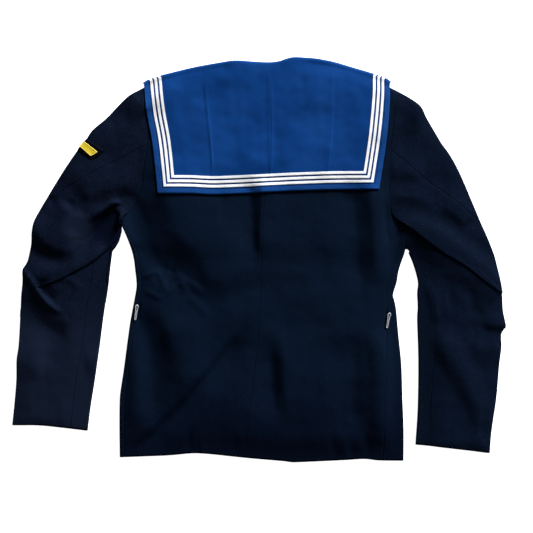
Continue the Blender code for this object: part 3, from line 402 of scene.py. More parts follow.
@dataclass
class Line:
    """A line in plan through a few points, read by its share of the length.

    It bends smoothly at the points, in so many straight steps for each stretch.
    """

    points: Table
    rounded: bool = True
    steps: int = 8

    def __post_init__(self) -> None:
        """Bends the line and measures it."""
        self.points = np.array(self.points, float)
        if self.rounded and len(self.points) > 2:
            self.points = self.curved()
        runs = np.linalg.norm(np.diff(self.points, axis=0), axis=1)
        self.reached = np.concatenate([[0.0], np.cumsum(runs)])
        self.length = self.reached[-1]
        self.shares = self.reached / self.length

    def curved(self) -> Array:
        """Runs a Catmull-Rom curve through the points.

        Returns:
            The points.
        """
        points, steps = self.points, self.steps
        first, last = 2 * points[0] - points[1], 2 * points[-1] - points[-2]
        ends = np.vstack([first, points, last])
        t = (np.arange(steps) / steps)[:, None]
        curve = []
        for a, b, c, d in zip(ends, ends[1:], ends[2:], ends[3:]):
            bend = 2 * a - 5 * b + 4 * c - d
            twist = 3 * (b - c) + d - a
            curve.append(b + 0.5 * t * ((c - a) + t * (bend + t * twist)))
        return np.vstack([*curve, points[-1:]])

    def at(self, share: Numbers) -> Array:
        """The points at these shares of the length."""
        share = np.atleast_1d(share)
        return np.column_stack([np.interp(share, self.shares, x) for x in self.points.T])

    def apart(self, other: "Line", share: Numbers) -> Array:
        """The distances to another line at the same shares of both."""
        away = self.at(np.ravel(share)) - other.at(np.ravel(share))
        return np.linalg.norm(away, axis=1).reshape(np.shape(share))

    def normal(self, share: Numbers, toward: Sequence[float]) -> Array:
        """Finds the unit normals at these shares.

        Args:
            share: The shares.
            toward: A point on the side that they are wanted on.

        Returns:
            The normals.
        """
        share = np.atleast_1d(share)
        step = unit(self.at(share + 0.01) - self.at(share - 0.01))
        normal = np.column_stack([-step[:, 1], step[:, 0]])
        facing = ((np.asarray(toward) - self.at(share)) * normal).sum(1)
        return np.where(facing[:, None] > 0, normal, -normal)

    def nearest(self, points: Array) -> tuple[Array, Array, Array]:
        """Finds the nearest place on the line.

        Args:
            points: Places in plan, one a row.

        Returns:
            For each, the distance, the share along the line and the side, +1 for left.
        """
        points = np.atleast_2d(points).astype(float)
        best = np.full(len(points), np.inf)
        share, side = np.zeros(len(points)), np.ones(len(points))
        for index, (first, last) in enumerate(zip(self.points, self.points[1:])):
            run = last - first
            place = np.clip((points - first) @ run / (run @ run), 0, 1)
            away = points - first - place[:, None] * run
            distance = np.hypot(away[:, 0], away[:, 1])
            closer = distance < best
            best[closer] = distance[closer]
            reached = self.reached[index] + place * math.hypot(*run)
            share[closer] = (reached / self.length)[closer]
            turn = run[0] * away[:, 1] - run[1] * away[:, 0]
            side[closer] = np.where(turn > 0, 1, -1)[closer]
        return best, share, side

    def share_near(self, point: Sequence[float]) -> float:
        """The share at which the line is nearest to a point."""
        return float(self.nearest(np.array([point]))[1][0])

    def part(self, first: float, last: float) -> "Line":
        """Cuts out a stretch.

        Args:
            first: The share where it starts.
            last: The share where it ends, which may be the smaller one.

        Returns:
            The stretch.
        """
        low, high = sorted((first, last))
        inside = self.points[(self.shares > low) & (self.shares < high)]
        points = np.vstack([self.at(low), inside, self.at(high)])
        return Line(points if first < last else points[::-1], rounded=False)

    def fitted(self, start: Array, end: Array) -> "Line":
        """The same line with its ends moved to these points."""
        moves = (np.ravel(start) - self.points[0], np.ravel(end) - self.points[-1])
        return Line(self.points + mixed(*moves, self.shares), rounded=False)

    def inset(self, distance: float, other: "Line") -> "Line":
        """The line moved toward another one."""
        normal = self.normal(self.shares, other.at(0.5)[0])
        return Line(self.at(self.shares) + distance * normal, rounded=False)


def joined(*lines: Line) -> Line:
    """One line made of several that follow each other."""
    rest = [line.points[1:] for line in lines[1:]]
    return Line(np.vstack([lines[0].points, *rest]), rounded=False)


@dataclass
class Patch:
    """A surface in plan between four lines, bent evenly from one to the next."""

    south: Line
    north: Line
    west: Line
    east: Line

    def __post_init__(self) -> None:
        """Fits the south and the north line between the other two."""
        self.south = self.south.fitted(self.west.at(0), self.east.at(0))
        self.north = self.north.fitted(self.west.at(1), self.east.at(1))

    def at(self, u: Numbers, v: Numbers) -> Array:
        """Finds points of the patch.

        Args:
            u: The shares from west to east.
            v: The shares from south to north.

        Returns:
            The points.
        """
        u, v = np.broadcast_arrays(np.atleast_1d(u), np.atleast_1d(v))
        across = mixed(self.west.at(v), self.east.at(v), u)
        along = mixed(self.south.at(u), self.north.at(u), v)
        south = mixed(self.west.at(0), self.east.at(0), u)
        north = mixed(self.west.at(1), self.east.at(1), u)
        return across + along - mixed(south, north, v)

    def crossing(self, v: Array, line: Line, start_side: float = 1) -> Array:
        """Finds where rows cross a line that runs along the patch.

        Args:
            v: The shares of the rows.
            line: The line.
            start_side: The side of the line that the west edge is on, 1 for left.

        Returns:
            The shares u.
        """
        low, high = np.zeros(len(v)), np.ones(len(v))
        for _ in range(20):
            middle = (low + high) / 2
            before = line.nearest(self.at(middle, v))[2] * start_side > 0
            low, high = np.where(before, middle, low), np.where(before, high, middle)
        return (low + high) / 2


@dataclass
class Relief:
    """Heights of the laid cloth, with air between the layers and slack in folds."""

    folds: Sequence[Fold]
    borders: Sequence[tuple[Table, float]]
    crown: float = 5.6
    crown_reach: float = 52.0
    wave: float = 0.0022
    waves: int = 14
    wave_lengths: Sequence[tuple[float, float]] = ((45, 150), (14, 44))
    seed: int = 11
    least: float = 2.6
    soft_top: float = 14.5
    highest: float = 18.8
    knee: float = 2.0
    highest_under: float = 3.0
    # What lies over the collar's ends: its west, east and south
    over_collar: Triple = (-205.0, 233.0, 58.0)
    # How far the cloth takes to come down beside the collar and the badge, and from where
    collar_slope: tuple[float, float] = (46.0, 24.0)
    badge_slope: tuple[float, float] = (40.0, 42.0)

    def base(self, points: Array) -> Array:
        """Finds the under layer's height over the collar's ends and the badge.

        Args:
            points: Places in plan.

        Returns:
            The heights.
        """
        x, y = points.T
        west, east, south = self.over_collar
        side = np.maximum(np.maximum(west - x, x - east), 0)
        outside = np.hypot(side, np.maximum(south - y, 0))
        over_collar = FRONT_LIFT * fading(outside, *self.collar_slope)
        away = np.hypot(*(points - np.array(Badge.place)).T)
        over_badge = Badge.lift_of_cloth * fading(away, *self.badge_slope)
        return np.maximum(over_collar, over_badge)

    def calm(self, points: Array) -> Array:
        """Finds how far inside the borders of the cloth places are.

        Args:
            points: Places in plan.

        Returns:
            Shares, 0 at the borders and 1 well inside.
        """
        calm = np.ones(len(points))
        for border, start in self.borders:
            distance = Line(border, steps=3).nearest(points)[0]
            calm *= smoothstep((distance + start) / self.crown_reach)
        return calm

    def swell(self, points: Array) -> Array:
        """Finds the height of the slow waves between the folds.

        Args:
            points: Places in plan.

        Returns:
            The heights.
        """
        draw = np.random.default_rng(self.seed)
        total = np.zeros(len(points))
        for shortest, longest in self.wave_lengths:
            for _ in range(self.waves):
                length, turn = draw.uniform(shortest, longest), draw.uniform(0, math.pi)
                phase = draw.uniform(0, 2 * math.pi)
                along = points @ np.array([math.cos(turn), math.sin(turn)])
                total += self.wave * length * np.sin(2 * math.pi * along / length + phase)
        return total

    def capped(self, height: Array) -> Array:
        """Levels heights off below the highest one.

        Args:
            height: The heights.

        Returns:
            The heights after that.
        """
        room = self.highest - self.soft_top
        over = np.maximum(height - self.soft_top, 0)
        return np.minimum(height, self.soft_top) + room * np.tanh(over / room)

    def upper(self, points: Array) -> Array:
        """Finds the height of the upper layer's outside.

        Args:
            points: Places in plan.

        Returns:
            The heights.
        """
        calm = self.calm(points)
        loose = self.crown * calm + self.swell(points) * calm + heaped(self.folds, points)
        height = LAYERS + loose
        under = np.minimum(height - self.least - self.knee, 0)
        eased = self.least + self.knee * np.exp(under / self.knee)
        height = np.where(height < self.least + self.knee, eased, height)
        return self.base(points) + self.capped(height)

    def under(self, points: Array) -> Array:
        """Height of the under layer's outside."""
        tight = heaped(self.folds, points) - SLACK
        return self.base(points) + np.clip(tight, 0, self.highest_under)


def rounded(
    plan: Array, outward: Array, angle: Numbers, radius: float,
    low: Array, high: Array,
) -> Array:
    """Finds points on the round of an edge fold.

    Args:
        plan: Where the upper layer meets the round, in plan.
        outward: The direction in plan in which the cloth is folded.
        angle: The turn, from a quarter turn above to a quarter turn below.
        radius: How far the round stands out.
        low: Height of the under layer there.
        high: Height of the upper layer there.

    Returns:
        The points in space.
    """
    angle = np.broadcast_to(angle, len(plan))
    reach = plan + outward * (radius * np.cos(angle))[:, None]
    return at_height(reach, (low + high) / 2 + (high - low) / 2 * np.sin(angle))


@dataclass
class Tube:
    """A flattened tube of cloth between two outlines and two end lines.

    An edge at an underarm turns its fold, so that the body and the sleeve meet round
    one bend. `underarms` holds for the west and the east edge either None or the
    share at which the turn starts, the direction there (None for the edge's own) and
    the direction at the end.
    """

    west: Line
    east: Line
    south: Line
    north: Line
    upper: Height
    under: Height
    underarms: Sequence[tuple | None] = (None, None)

    def __post_init__(self) -> None:
        """Lays the patch between the lines."""
        self.patch = Patch(self.south, self.north, self.west, self.east)
        self.edges = (self.west, self.east)

    def outward(self, index: int, v: Array) -> Array:
        """Finds the directions in plan in which an edge is folded.

        Args:
            index: 0 for the west edge, 1 for the east one.
            v: Shares along the edge.

        Returns:
            The directions.
        """
        near, far = self.edges[index], self.edges[1 - index]
        outward = -near.normal(v, far.at(0.5)[0])
        if self.underarms[index]:
            start, first, last = self.underarms[index]
            first = np.tile(first, (len(v), 1)) if first else outward
            blend = np.clip((v - start) / (1 - start), 0, 1)
            outward = unit(mixed(first, np.array([last]), blend))
        return outward

    def surface(self, place: Array, v: Array) -> Array:
        """Finds points of the outside.

        Args:
            place: The places round the tube.
            v: The shares along it.

        Returns:
            The points.
        """
        place = np.mod(place, 4)
        v = np.broadcast_to(v, place.shape)
        points = np.empty((len(place), 3))
        above, below = place <= 1, (place >= 2) & (place <= 3)
        plan = self.patch.at(place[above], v[above])
        points[above] = at_height(plan, self.upper(plan))
        plan = self.patch.at(3 - place[below], v[below])
        points[below] = at_height(plan, self.under(plan))
        east, west = (place > 1) & (place < 2), place > 3
        for index, mask, turn in ((0, west, 4 - place), (1, east, place - 1)):
            plan = self.edges[index].at(v[mask])
            points[mask] = rounded(
                plan, self.outward(index, v[mask]), math.pi * (0.5 - turn[mask]),
                EDGE_RADIUS, self.under(plan), self.upper(plan),
            )
        return points


@dataclass
class Seams:
    """Which borders of a grid of cloth are sewn: its row ends and its first row."""

    start: bool = True
    end: bool = True
    first: bool = False
    depth: float = 0.4
    reach: float = 1.5
    lap: float = 0.4

    def distance(self, grid: Array) -> Array:
        """Finds how far points are from the nearest sewn border.

        Args:
            grid: Rows of points.

        Returns:
            The distances.
        """
        across, along = reached(grid, 1), reached(grid, 0)
        near = np.full(grid.shape[:2], 99.0)
        for sewn, away in (
            (self.start, across), (self.end, across[:, -1:] - across),
            (self.first, along),
        ):
            if sewn:
                near = np.minimum(near, away)
        return near

    def lapped(self, grid: Array) -> Array:
        """Moves the sewn borders a little past the seam.

        Args:
            grid: Rows of points.

        Returns:
            The grid after that.
        """
        grid = grid.copy()
        for sewn, edge, inner in ((self.start, 0, 1), (self.end, -1, -2)):
            if sewn:
                grid[:, edge] += self.lap * unit(grid[:, edge] - grid[:, inner])
        if self.first:
            grid[0] += self.lap * unit(grid[0] - grid[1])
        return grid


UNSEWN = Seams(start=False, end=False)


@dataclass
class Cloth:
    """A piece of cloth gathered from grids of outside points that share borders."""

    name: str
    wall: float
    fine: float = 0.02

    def __post_init__(self) -> None:
        """Starts with nothing in it."""
        self.points, self.coords, self.sewn, self.drop, self.faces = ([] for _ in range(5))
        self.count = 0

    def add(self, grid: Array, seams: Seams) -> None:
        """Adds a grid of rows of points.

        Args:
            grid: The points, as rows, columns and x, y, z.
            seams: Which of its borders are sewn.
        """
        rows, columns = grid.shape[:2]
        away = seams.distance(grid)
        grid = seams.lapped(grid)
        middle = slice(columns // 2, columns // 2 + 1)
        across = reached(grid, 1)
        across = across - across[:, middle]
        along = np.broadcast_to(reached(grid[:, middle], 0), across.shape)
        self.points.append(grid.reshape(-1, 3))
        self.coords.append(np.stack([across, along], axis=2).reshape(-1, 2))
        self.sewn.append(away.ravel())
        self.drop.append((seams.depth * fading(away, seams.reach)).ravel())
        corner = np.arange(rows * columns).reshape(rows, columns) + self.count
        self.faces.append(np.stack([
            corner[:-1, :-1], corner[1:, :-1], corner[1:, 1:], corner[:-1, 1:],
        ], axis=2).reshape(-1, 4))
        self.count += rows * columns

    def build(self, finish: "Finish") -> Piece:
        """Makes the closed piece.

        Args:
            finish: What it is dressed in.

        Returns:
            The object, with a UV map in metres and the distance from its seams.
        """
        points = np.vstack(self.points)
        _, kept, number = np.unique(
            np.round(points / self.fine), axis=0, return_index=True, return_inverse=True
        )
        number = number.ravel()
        data = bpy.data.meshes.new(self.name)
        mesh = bmesh.new()
        layer = mesh.loops.layers.uv.new("cloth")
        vertices = [mesh.verts.new(point) for point in points[kept]]
        coords = (np.vstack(self.coords) * MM).tolist()
        for face in np.vstack(self.faces).tolist():
            corners = {number[corner]: corner for corner in face}
            if len(corners) > 2:
                made = mesh.faces.new([vertices[corner] for corner in corners])
                for loop, corner in zip(made.loops, corners.values()):
                    loop[layer].uv = coords[corner]
        bmesh.ops.recalc_face_normals(mesh, faces=mesh.faces)
        top = max(mesh.faces, key=lambda face: face.calc_center_median().z)
        if top.normal.z < 0:
            bmesh.ops.reverse_faces(mesh, faces=mesh.faces)
        mesh.normal_update()
        drop = np.concatenate(self.drop)[kept]
        for vertex, depth in zip(vertices, drop):
            vertex.co -= vertex.normal * float(depth)
            # A tuck against the table stands on its own wall
            if vertex.co.z < self.wall and vertex.normal.z > -0.2:
                vertex.co.z = 1.2 * self.wall
        bmesh.ops.scale(mesh, verts=mesh.verts, vec=(MM, MM, MM))
        mesh.verts.index_update()
        mesh.to_mesh(data)
        mesh.free()
        sewn = np.concatenate(self.sewn)[kept]
        data.attributes.new("sewn", "FLOAT", "POINT").data.foreach_set("value", sewn)
        data.shade_smooth()
        piece = linked(self.name, data)
        thickness = piece.modifiers.new("wall", "SOLIDIFY")
        thickness.thickness = self.wall * MM
        thickness.offset = -1.0
        finish.dress(piece)
        return piece


def linked(name: str, data: bpy.types.ID) -> Piece:
    """Puts an object with this data into the scene.

    Args:
        name: The object's name.
        data: What it shows.

    Returns:
        The object.
    """
    piece = bpy.data.objects.new(name, data)
    bpy.context.scene.collection.objects.link(piece)
    return piece


def spread(stops: Sequence[float], steps: Sequence[int]) -> Array:
    """Shares that go from stop to stop in so many steps each.

    Args:
        stops: The shares to stop at.
        steps: How many steps there are from each to the next.

    Returns:
        The shares.
    """
    parts = [
        np.linspace(low, high, count, endpoint=False)
        for low, high, count in zip(stops, stops[1:], steps)
    ]
    return np.append(np.concatenate(parts), stops[-1])


def near_ends(
    count: int, width: float, first: bool = True, last: bool = True
) -> Array:
    """Shares from 0 to 1, closer together near sewn ends.

    Args:
        count: How many even steps there are.
        width: The width they cover.
        first: Whether the first end is sewn.
        last: Whether the last end is sewn.

    Returns:
        The shares.
    """
    close = np.array([0.7, 1.5, 2.4]) / width
    even = np.linspace(0, 1, count + 1)
    even = even[(even == 0) | (even == 1) | ((even > 3 / width) & (even < 1 - 3 / width))]
    extra = [close] if first else []
    extra += [1 - close] if last else []
    return np.unique(np.concatenate([even, *extra]))


@dataclass
class Value:
    """A number from a shader node, whose sums add Math nodes."""

    graph: "Graph"
    socket: Socket

    def math(self, operation: str, *others: "Value | float") -> "Value":
        """Adds a Math node.

        Args:
            operation: What it does.
            *others: The numbers or values after this one.

        Returns:
            Its result.
        """
        inputs = {0: self, **{index + 1: other for index, other in enumerate(others)}}
        node = self.graph.node("ShaderNodeMath", {"operation": operation}, inputs)
        return Value(self.graph, node.outputs[0])

    def __add__(self, other: "Value | float") -> "Value":
        """Adds."""
        return self.math("ADD", other)

    __radd__ = __add__

    def __mul__(self, other: "Value | float") -> "Value":
        """Multiplies."""
        return self.math("MULTIPLY", other)

    __rmul__ = __mul__

    def __sub__(self, other: "Value | float") -> "Value":
        """Subtracts."""
        return self.math("SUBTRACT", other)

    def __rsub__(self, other: float) -> "Value":
        """Subtracts this value from a number."""
        return (self * -1.0) + other

    def waves(self, length: float) -> "Value":
        """A sine wave of this length along the value."""
        return (self * (2 * math.pi / length)).math("SINE")

    def ease(self, low: float, high: float) -> "Value":
        """Goes smoothly from 0 at low to 1 at high.

        Args:
            low: Where the rise starts.
            high: Where it ends.

        Returns:
            The eased value.
        """
        node = self.graph.node(
            "ShaderNodeMapRange", {"interpolation_type": "SMOOTHSTEP"},
            {"Value": self, "From Min": low, "From Max": high},
        )
        return Value(self.graph, node.outputs[0])


@dataclass
class Tree:
    """A node tree that is being filled."""

    tree: bpy.types.NodeTree

    def node(
        self, kind: str, settings: dict | None = None, inputs: dict | None = None
    ) -> bpy.types.Node:
        """Adds a node.

        Args:
            kind: Its type.
            settings: What is set on the node itself, before its sockets.
            inputs: What its sockets get, as for `fill`.

        Returns:
            The node.
        """
        made = self.tree.nodes.new(kind)
        for key, value in (settings or {}).items():
            setattr(made, key, value)
        self.fill(made, inputs or {})
        return made

    def out(
        self, kind: str, settings: dict | None = None, **inputs: object
    ) -> Socket:
        """The first output of a new node."""
        return self.node(kind, settings, inputs).outputs[0]

    def fill(self, node: bpy.types.Node, inputs: dict) -> None:
        """Feeds sockets of a node.

        Args:
            node: The node.
            inputs: Values or links by number, or by name with underscores for spaces.
        """
        for key, value in inputs.items():
            key = key.replace("_", " ") if isinstance(key, str) else key
            self.feed(node.inputs[key], value)

    def feed(self, socket: Socket, value: object) -> None:
        """Sets a socket to a number or colour, or links it.

        Args:
            socket: The socket.
            value: The number, colour, value or output that it gets.
        """
        value = value.socket if isinstance(value, Value) else value
        if isinstance(value, Socket):
            self.tree.links.new(value, socket)
        elif isinstance(value, tuple) and socket.type == "RGBA":
            socket.default_value = (*value, 1.0)
        else:
            socket.default_value = value


class Graph(Tree):
    """The shader of one material."""

    def __init__(self, name: str) -> None:
        """Makes the material.

        Args:
            name: Its name.
        """
        self.material = bpy.data.materials.new(name)
        self.material.use_nodes = True
        super().__init__(self.material.node_tree)
        self.shader = self.tree.nodes["Principled BSDF"]

    def coordinates(self, output: str = "Object") -> Socket:
        """Texture coordinates, of the object or of its UV map."""
        return self.node("ShaderNodeTexCoord").outputs[output]

    def split(self, vector: Socket) -> list[Value]:
        """The x, y and z of a vector."""
        node = self.node("ShaderNodeSeparateXYZ", inputs={0: vector})
        return [Value(self, socket) for socket in node.outputs]

    def noise(self, vector: object, scale: float, detail: float = 2.0) -> Value:
        """Noise from 0 to 1."""
        noise = self.out("ShaderNodeTexNoise", Vector=vector, Scale=scale, Detail=detail)
        return Value(self, noise)

    def specks(self, vector: object, scale: float, size: float) -> Value:
        """Scatters small round specks.

        Args:
            vector: Where the texture is read.
            scale: How dense the specks are.
            size: Their radius as a share of their spacing.

        Returns:
            1 inside a speck and 0 outside.
        """
        distance = self.out("ShaderNodeTexVoronoi", {"feature": "F1"}, Vector=vector,
                            Scale=scale, Randomness=1.0)
        return 1.0 - Value(self, distance).ease(size * 0.5, size)

    def attribute(self, name: str) -> Value:
        """A number kept on the mesh."""
        node = self.node("ShaderNodeAttribute", {"attribute_name": name})
        return Value(self, node.outputs["Fac"])

    def mix(self, share: Value, first: object, last: object) -> Socket:
        """A colour between two."""
        inputs = {0: share, 6: first, 7: last}
        return self.node("ShaderNodeMix", {"data_type": "RGBA"}, inputs).outputs[2]

    def bump(self, height: Value, depth: float, strength: float = 1.0) -> None:
        """Gives the surface a relief of this depth in metres."""
        inputs = {"Height": height, "Distance": depth, "Strength": strength}
        self.feed(self.shader.inputs["Normal"], self.out("ShaderNodeBump", **inputs))

    def finish(self, **values: object) -> Material:
        """Sets sockets of the shader by name, with underscores for spaces.

        Args:
            **values: What each socket gets.

        Returns:
            The material.
        """
        self.fill(self.shader, values)
        return self.material


@dataclass(frozen=True)
class Finish:
    """What a piece is dressed in, and the record's slot for it."""

    name: str
    slot: str

    def material(self) -> Material:
        """The material, made once."""
        return bpy.data.materials.get(self.name) or self.make()

    def make(self) -> Material:
        """Makes the material."""
        raise NotImplementedError

    def dress(self, piece: Piece) -> None:
        """Puts the material on a piece.

        Args:
            piece: The piece.
        """
        piece.data.materials.clear()
        piece.data.materials.append(self.material())


@dataclass(frozen=True)
class Serge(Finish):
    """Navy worsted twill with a little nap and lint, and painted light and shade in places.
    """

    slot: str = "serge"
    colour: Triple = (0.0010, 0.0028, 0.0098)
    # The lighter colour that wear and the painted light mix toward
    wear_and_painted_light: Triple = (0.0018, 0.0063, 0.0168)
    lint: Triple = (0.10, 0.12, 0.15)
    wear: float = 0.8
    # Painted light towards the bottom, eased in between the two levels below in metres:
    # painted shade where the amount is negative, painted brightening where it is positive
    painted_light_below: float = -0.6
    painted_light_from: tuple[float, float] = (-0.33, -0.17)
    # A round painted highlight where a bump faces the light: its strength, then x, y and
    # reach in metres
    brightened: float = 0.0
    painted_highlight_at: Triple = (-0.309, 0.056, 0.033)
    # A round painted shade in the hollow at the underarm: its strength, then x, y and reach
    # in metres
    painted_shade: float = 0.0
    painted_shade_at: Triple = (-0.261, 0.056, 0.036)
    wale: float = 0.0011

    def make(self) -> Material:
        """Makes the twill's diagonals, its fuzz, its uneven colour and its painted light
        and shade.

        Returns:
            The material.
        """
        graph = Graph(self.name)
        place, cloth = graph.coordinates(), graph.coordinates("UV")
        across, along, _ = graph.split(cloth)
        wales = (across + along * 0.9).waves(self.wale)
        yarns = (across - along * 1.6).waves(self.wale * 0.55)
        fuzz = graph.noise(cloth, 2600.0, 3.0)
        grain = graph.noise(place, 450.0, 2.0)
        cloud = graph.noise(place, 7.0, 3.0)
        sewn = graph.attribute("sewn")
        pressed = 1.0 - sewn.ease(0.4, 3.0)
        width, length, _ = graph.split(place)
        # Painted light towards the bottom of the piece
        low = 1.0 - (length + cloud * 0.06 - 0.03).ease(*self.painted_light_from)
        # Round patches of painted highlight on a lit bump and of painted shade in a shaded
        # hollow
        painted_light_patches = []
        for middle, level, reach in (self.painted_highlight_at, self.painted_shade_at):
            aside, above = width - middle, length - level
            away = (aside * aside + above * above) * (1 / reach ** 2)
            painted_light_patches.append(1.0 - away.ease(0.2, 1.0))
        # The painted highlight lightens, the painted shade darkens
        brightened = painted_light_patches[0] * self.brightened - painted_light_patches[1] * self.painted_shade
        uneven = (cloud - 0.5) * 0.4 + (fuzz - 0.5) * 0.5 + (grain - 0.5) * 2.4
        # Share toward the lighter colour: random unevenness and wear, with the painted
        # light and shade
        wear_and_painted_light = uneven + low * self.painted_light_below + brightened + self.wear
        base = graph.mix(wear_and_painted_light, self.colour, self.wear_and_painted_light)
        base = graph.mix(pressed * 0.15, base, tuple(0.4 * c for c in self.colour))
        specks = graph.specks(place, 80.0, 0.05) * graph.noise(place, 30.0).ease(0.5, 0.6)
        base = graph.mix(specks * 0.6, base, self.lint)
        graph.bump(wales * 0.3 + yarns * 0.12 + fuzz * 0.7, 0.00018, 0.6)
        return graph.finish(Base_Color=base, Roughness=0.85, Specular_IOR_Level=0.02)


@dataclass(frozen=True)
class Jean(Finish):
    """Blue cotton of the collar, pressed, with a lighter margin."""

    slot: str = "jean"
    colour: Triple = (0.0016, 0.0305, 0.145)
    bright: Triple = (0.0034, 0.0390, 0.176)
    faded: Triple = (0.014, 0.072, 0.25)
    thread: float = 0.00055

    def make(self) -> Material:
        """Makes the fine weave and the faded creases.

        Returns:
            The material.
        """
        graph = Graph(self.name)
        place, cloth = graph.coordinates(), graph.coordinates("UV")
        across, along, _ = graph.split(cloth)
        warp, weft = across.waves(self.thread), along.waves(self.thread)
        twill = (across + along).waves(2 * self.thread)
        fuzz = graph.noise(cloth, 1500.0, 3.0)
        cloud = graph.noise(place, 14.0, 4.0)
        base = graph.mix(cloud.ease(0.35, 0.68), self.colour, self.bright)
        hem = graph.attribute("hem")
        margin = 1.0 - hem.ease(7.0, 9.0)
        base = graph.mix(margin * (fuzz * 0.3 + 0.15), base, self.faded)
        fold = (hem.ease(0.0, 1.2) - hem.ease(7.4, 8.4)) * 0.5
        pucker = graph.noise(place, 210.0, 1.0) * margin
        weave = warp * 0.2 + weft * 0.2 + twill * 0.3 + fuzz * 0.5
        graph.bump(weave * 0.1 + fold * 0.6 + pucker * 0.8, 0.0010, 0.6)
        return graph.finish(Base_Color=base, Roughness=0.8, Specular_IOR_Level=0.03)


@dataclass(frozen=True)
class Tape(Finish):
    """White cotton tape with selvedges."""

    slot: str = "tape"
    colour: Triple = (0.93, 0.935, 0.95)
    shade: Triple = (0.74, 0.76, 0.82)
    rib: float = 0.0007

    def make(self) -> Material:
        """Makes the herringbone of the tape.

        Returns:
            The material.
        """
        graph = Graph(self.name)
        cloth = graph.coordinates("UV")
        across, along, _ = graph.split(cloth)
        bone = (across.math("ABSOLUTE") + along).waves(self.rib)
        fuzz = graph.noise(cloth, 2200.0, 3.0)
        base = graph.mix((bone * 0.2 + fuzz * 0.5).ease(0.5, 0.0), self.colour, self.shade)
        graph.bump(bone * 0.5 + fuzz * 0.5, 0.00010, 0.7)
        return graph.finish(Base_Color=base, Roughness=0.8, Specular_IOR_Level=0.2)


@dataclass(frozen=True)
class Thread(Finish):
    """Sewing or embroidery thread."""

    colour: Triple = (0.5, 0.5, 0.5)
    gloss: float = 0.5

    def make(self) -> Material:
        """Makes the twist and the uneven colour of the thread.

        Returns:
            The material.
        """
        graph = Graph(self.name)
        place = graph.coordinates()
        uneven = graph.noise(place, 900.0, 2.0)
        dark = tuple(0.72 * channel for channel in self.colour)
        base = graph.mix(uneven.ease(0.35, 0.65), dark, self.colour)
        graph.bump(graph.noise(place, 4000.0, 2.0), 0.00006, 0.6)
        return graph.finish(Base_Color=base, Roughness=self.gloss, Specular_IOR_Level=0.3)


@dataclass(frozen=True)
class Satin(Finish):
    """Yellow satin stitch, laid across the arm of the chevron."""

    slot: str = "embroidery"
    colour: Triple = (0.80, 0.62, 0.040)
    deep: Triple = (0.54, 0.38, 0.016)
    thread: float = 0.0006

    def make(self) -> Material:
        """Makes the threads side by side and their uneven colour.

        Returns:
            The material.
        """
        graph = Graph(self.name)
        cloth = graph.coordinates("UV")
        _, along, _ = graph.split(cloth)
        threads = along.waves(self.thread)
        uneven = graph.noise(cloth, 520.0, 2.0)
        base = graph.mix(
            (threads * 0.15 + uneven).ease(0.32, 0.66), self.deep, self.colour
        )
        graph.bump(threads * 0.5 + uneven, 0.00012, 0.7)
        return graph.finish(Base_Color=base, Roughness=0.5, Specular_IOR_Level=0.35)


@dataclass(frozen=True)
class Wire(Finish):
    """Plated steel wire, worn bright in places."""

    slot: str = "wire"
    dull: Triple = (0.38, 0.41, 0.43)
    bright: Triple = (0.58, 0.62, 0.64)

    def make(self) -> Material:
        """Makes the plating with faint scratches.

        Returns:
            The material.
        """
        graph = Graph(self.name)
        place = graph.coordinates()
        brightened = graph.noise(place, 800.0, 3.0)
        base = graph.mix(brightened.ease(0.3, 0.7), self.dull, self.bright)
        graph.bump(graph.noise(place, 5000.0, 2.0), 0.00002, 0.5)
        return graph.finish(Base_Color=base, Metallic=0.35, Roughness=brightened * 0.2 + 0.25)


@dataclass(frozen=True)
class TableTop(Finish):
    """The pale board on which the jumper lies."""

    slot: str = ""

    def make(self) -> Material:
        """Makes the board.

        Returns:
            The material.
        """
        graph = Graph(self.name)
        grain = graph.noise(graph.coordinates(), 3.0, 2.0)
        base = graph.mix(grain, (0.86, 0.86, 0.86), (0.88, 0.88, 0.88))
        return graph.finish(
            Base_Color=base, Roughness=0.8, Specular_IOR_Level=0.1,
            Emission_Color=(1.0, 1.0, 1.0), Emission_Strength=1.0,
        )


# The body is painted darker towards the hem, a painted shade
BODY_SERGE = Serge("serge of the body")
# The left sleeve is painted lighter towards the cuff, with a painted highlight on the bump
# of the upper arm and painted shade in the hollow at the underarm
LEFT_SERGE = Serge(
    "serge of the left sleeve", wear_and_painted_light=(0.0050, 0.0089, 0.0210), wear=0.4, painted_light_below=0.75,
    painted_light_from=(-0.16, -0.04), brightened=0.9, painted_shade=0.7,
)
# The right sleeve is painted a little lighter towards the cuff
RIGHT_SERGE = Serge(
    "serge of the right sleeve", wear_and_painted_light=(0.0032, 0.0082, 0.0203), wear=0.4, painted_light_below=0.1
)
COLLAR_JEAN = Jean("jean of the collar")
COLLAR_TAPE = Tape("collar tape")
WHITE_THREAD = Thread("white thread", "tape", (0.78, 0.79, 0.82))
BLUE_THREAD = Thread("blue thread", "jean", (0.012, 0.06, 0.22))
NAVY_THREAD = Thread("navy thread", "serge", (0.0025, 0.0035, 0.008))
BADGE_SERGE = Serge(
    "serge of the badge", colour=(0.0010, 0.0013, 0.0042), wear_and_painted_light=(0.002, 0.0028, 0.007),
    wear=0.1,
)
PALE_GOLD = Thread("pale gold thread", "embroidery", (0.80, 0.67, 0.20), 0.4)
SATIN = Satin("satin embroidery")
BRIGHT_WIRE = Wire("bright wire")


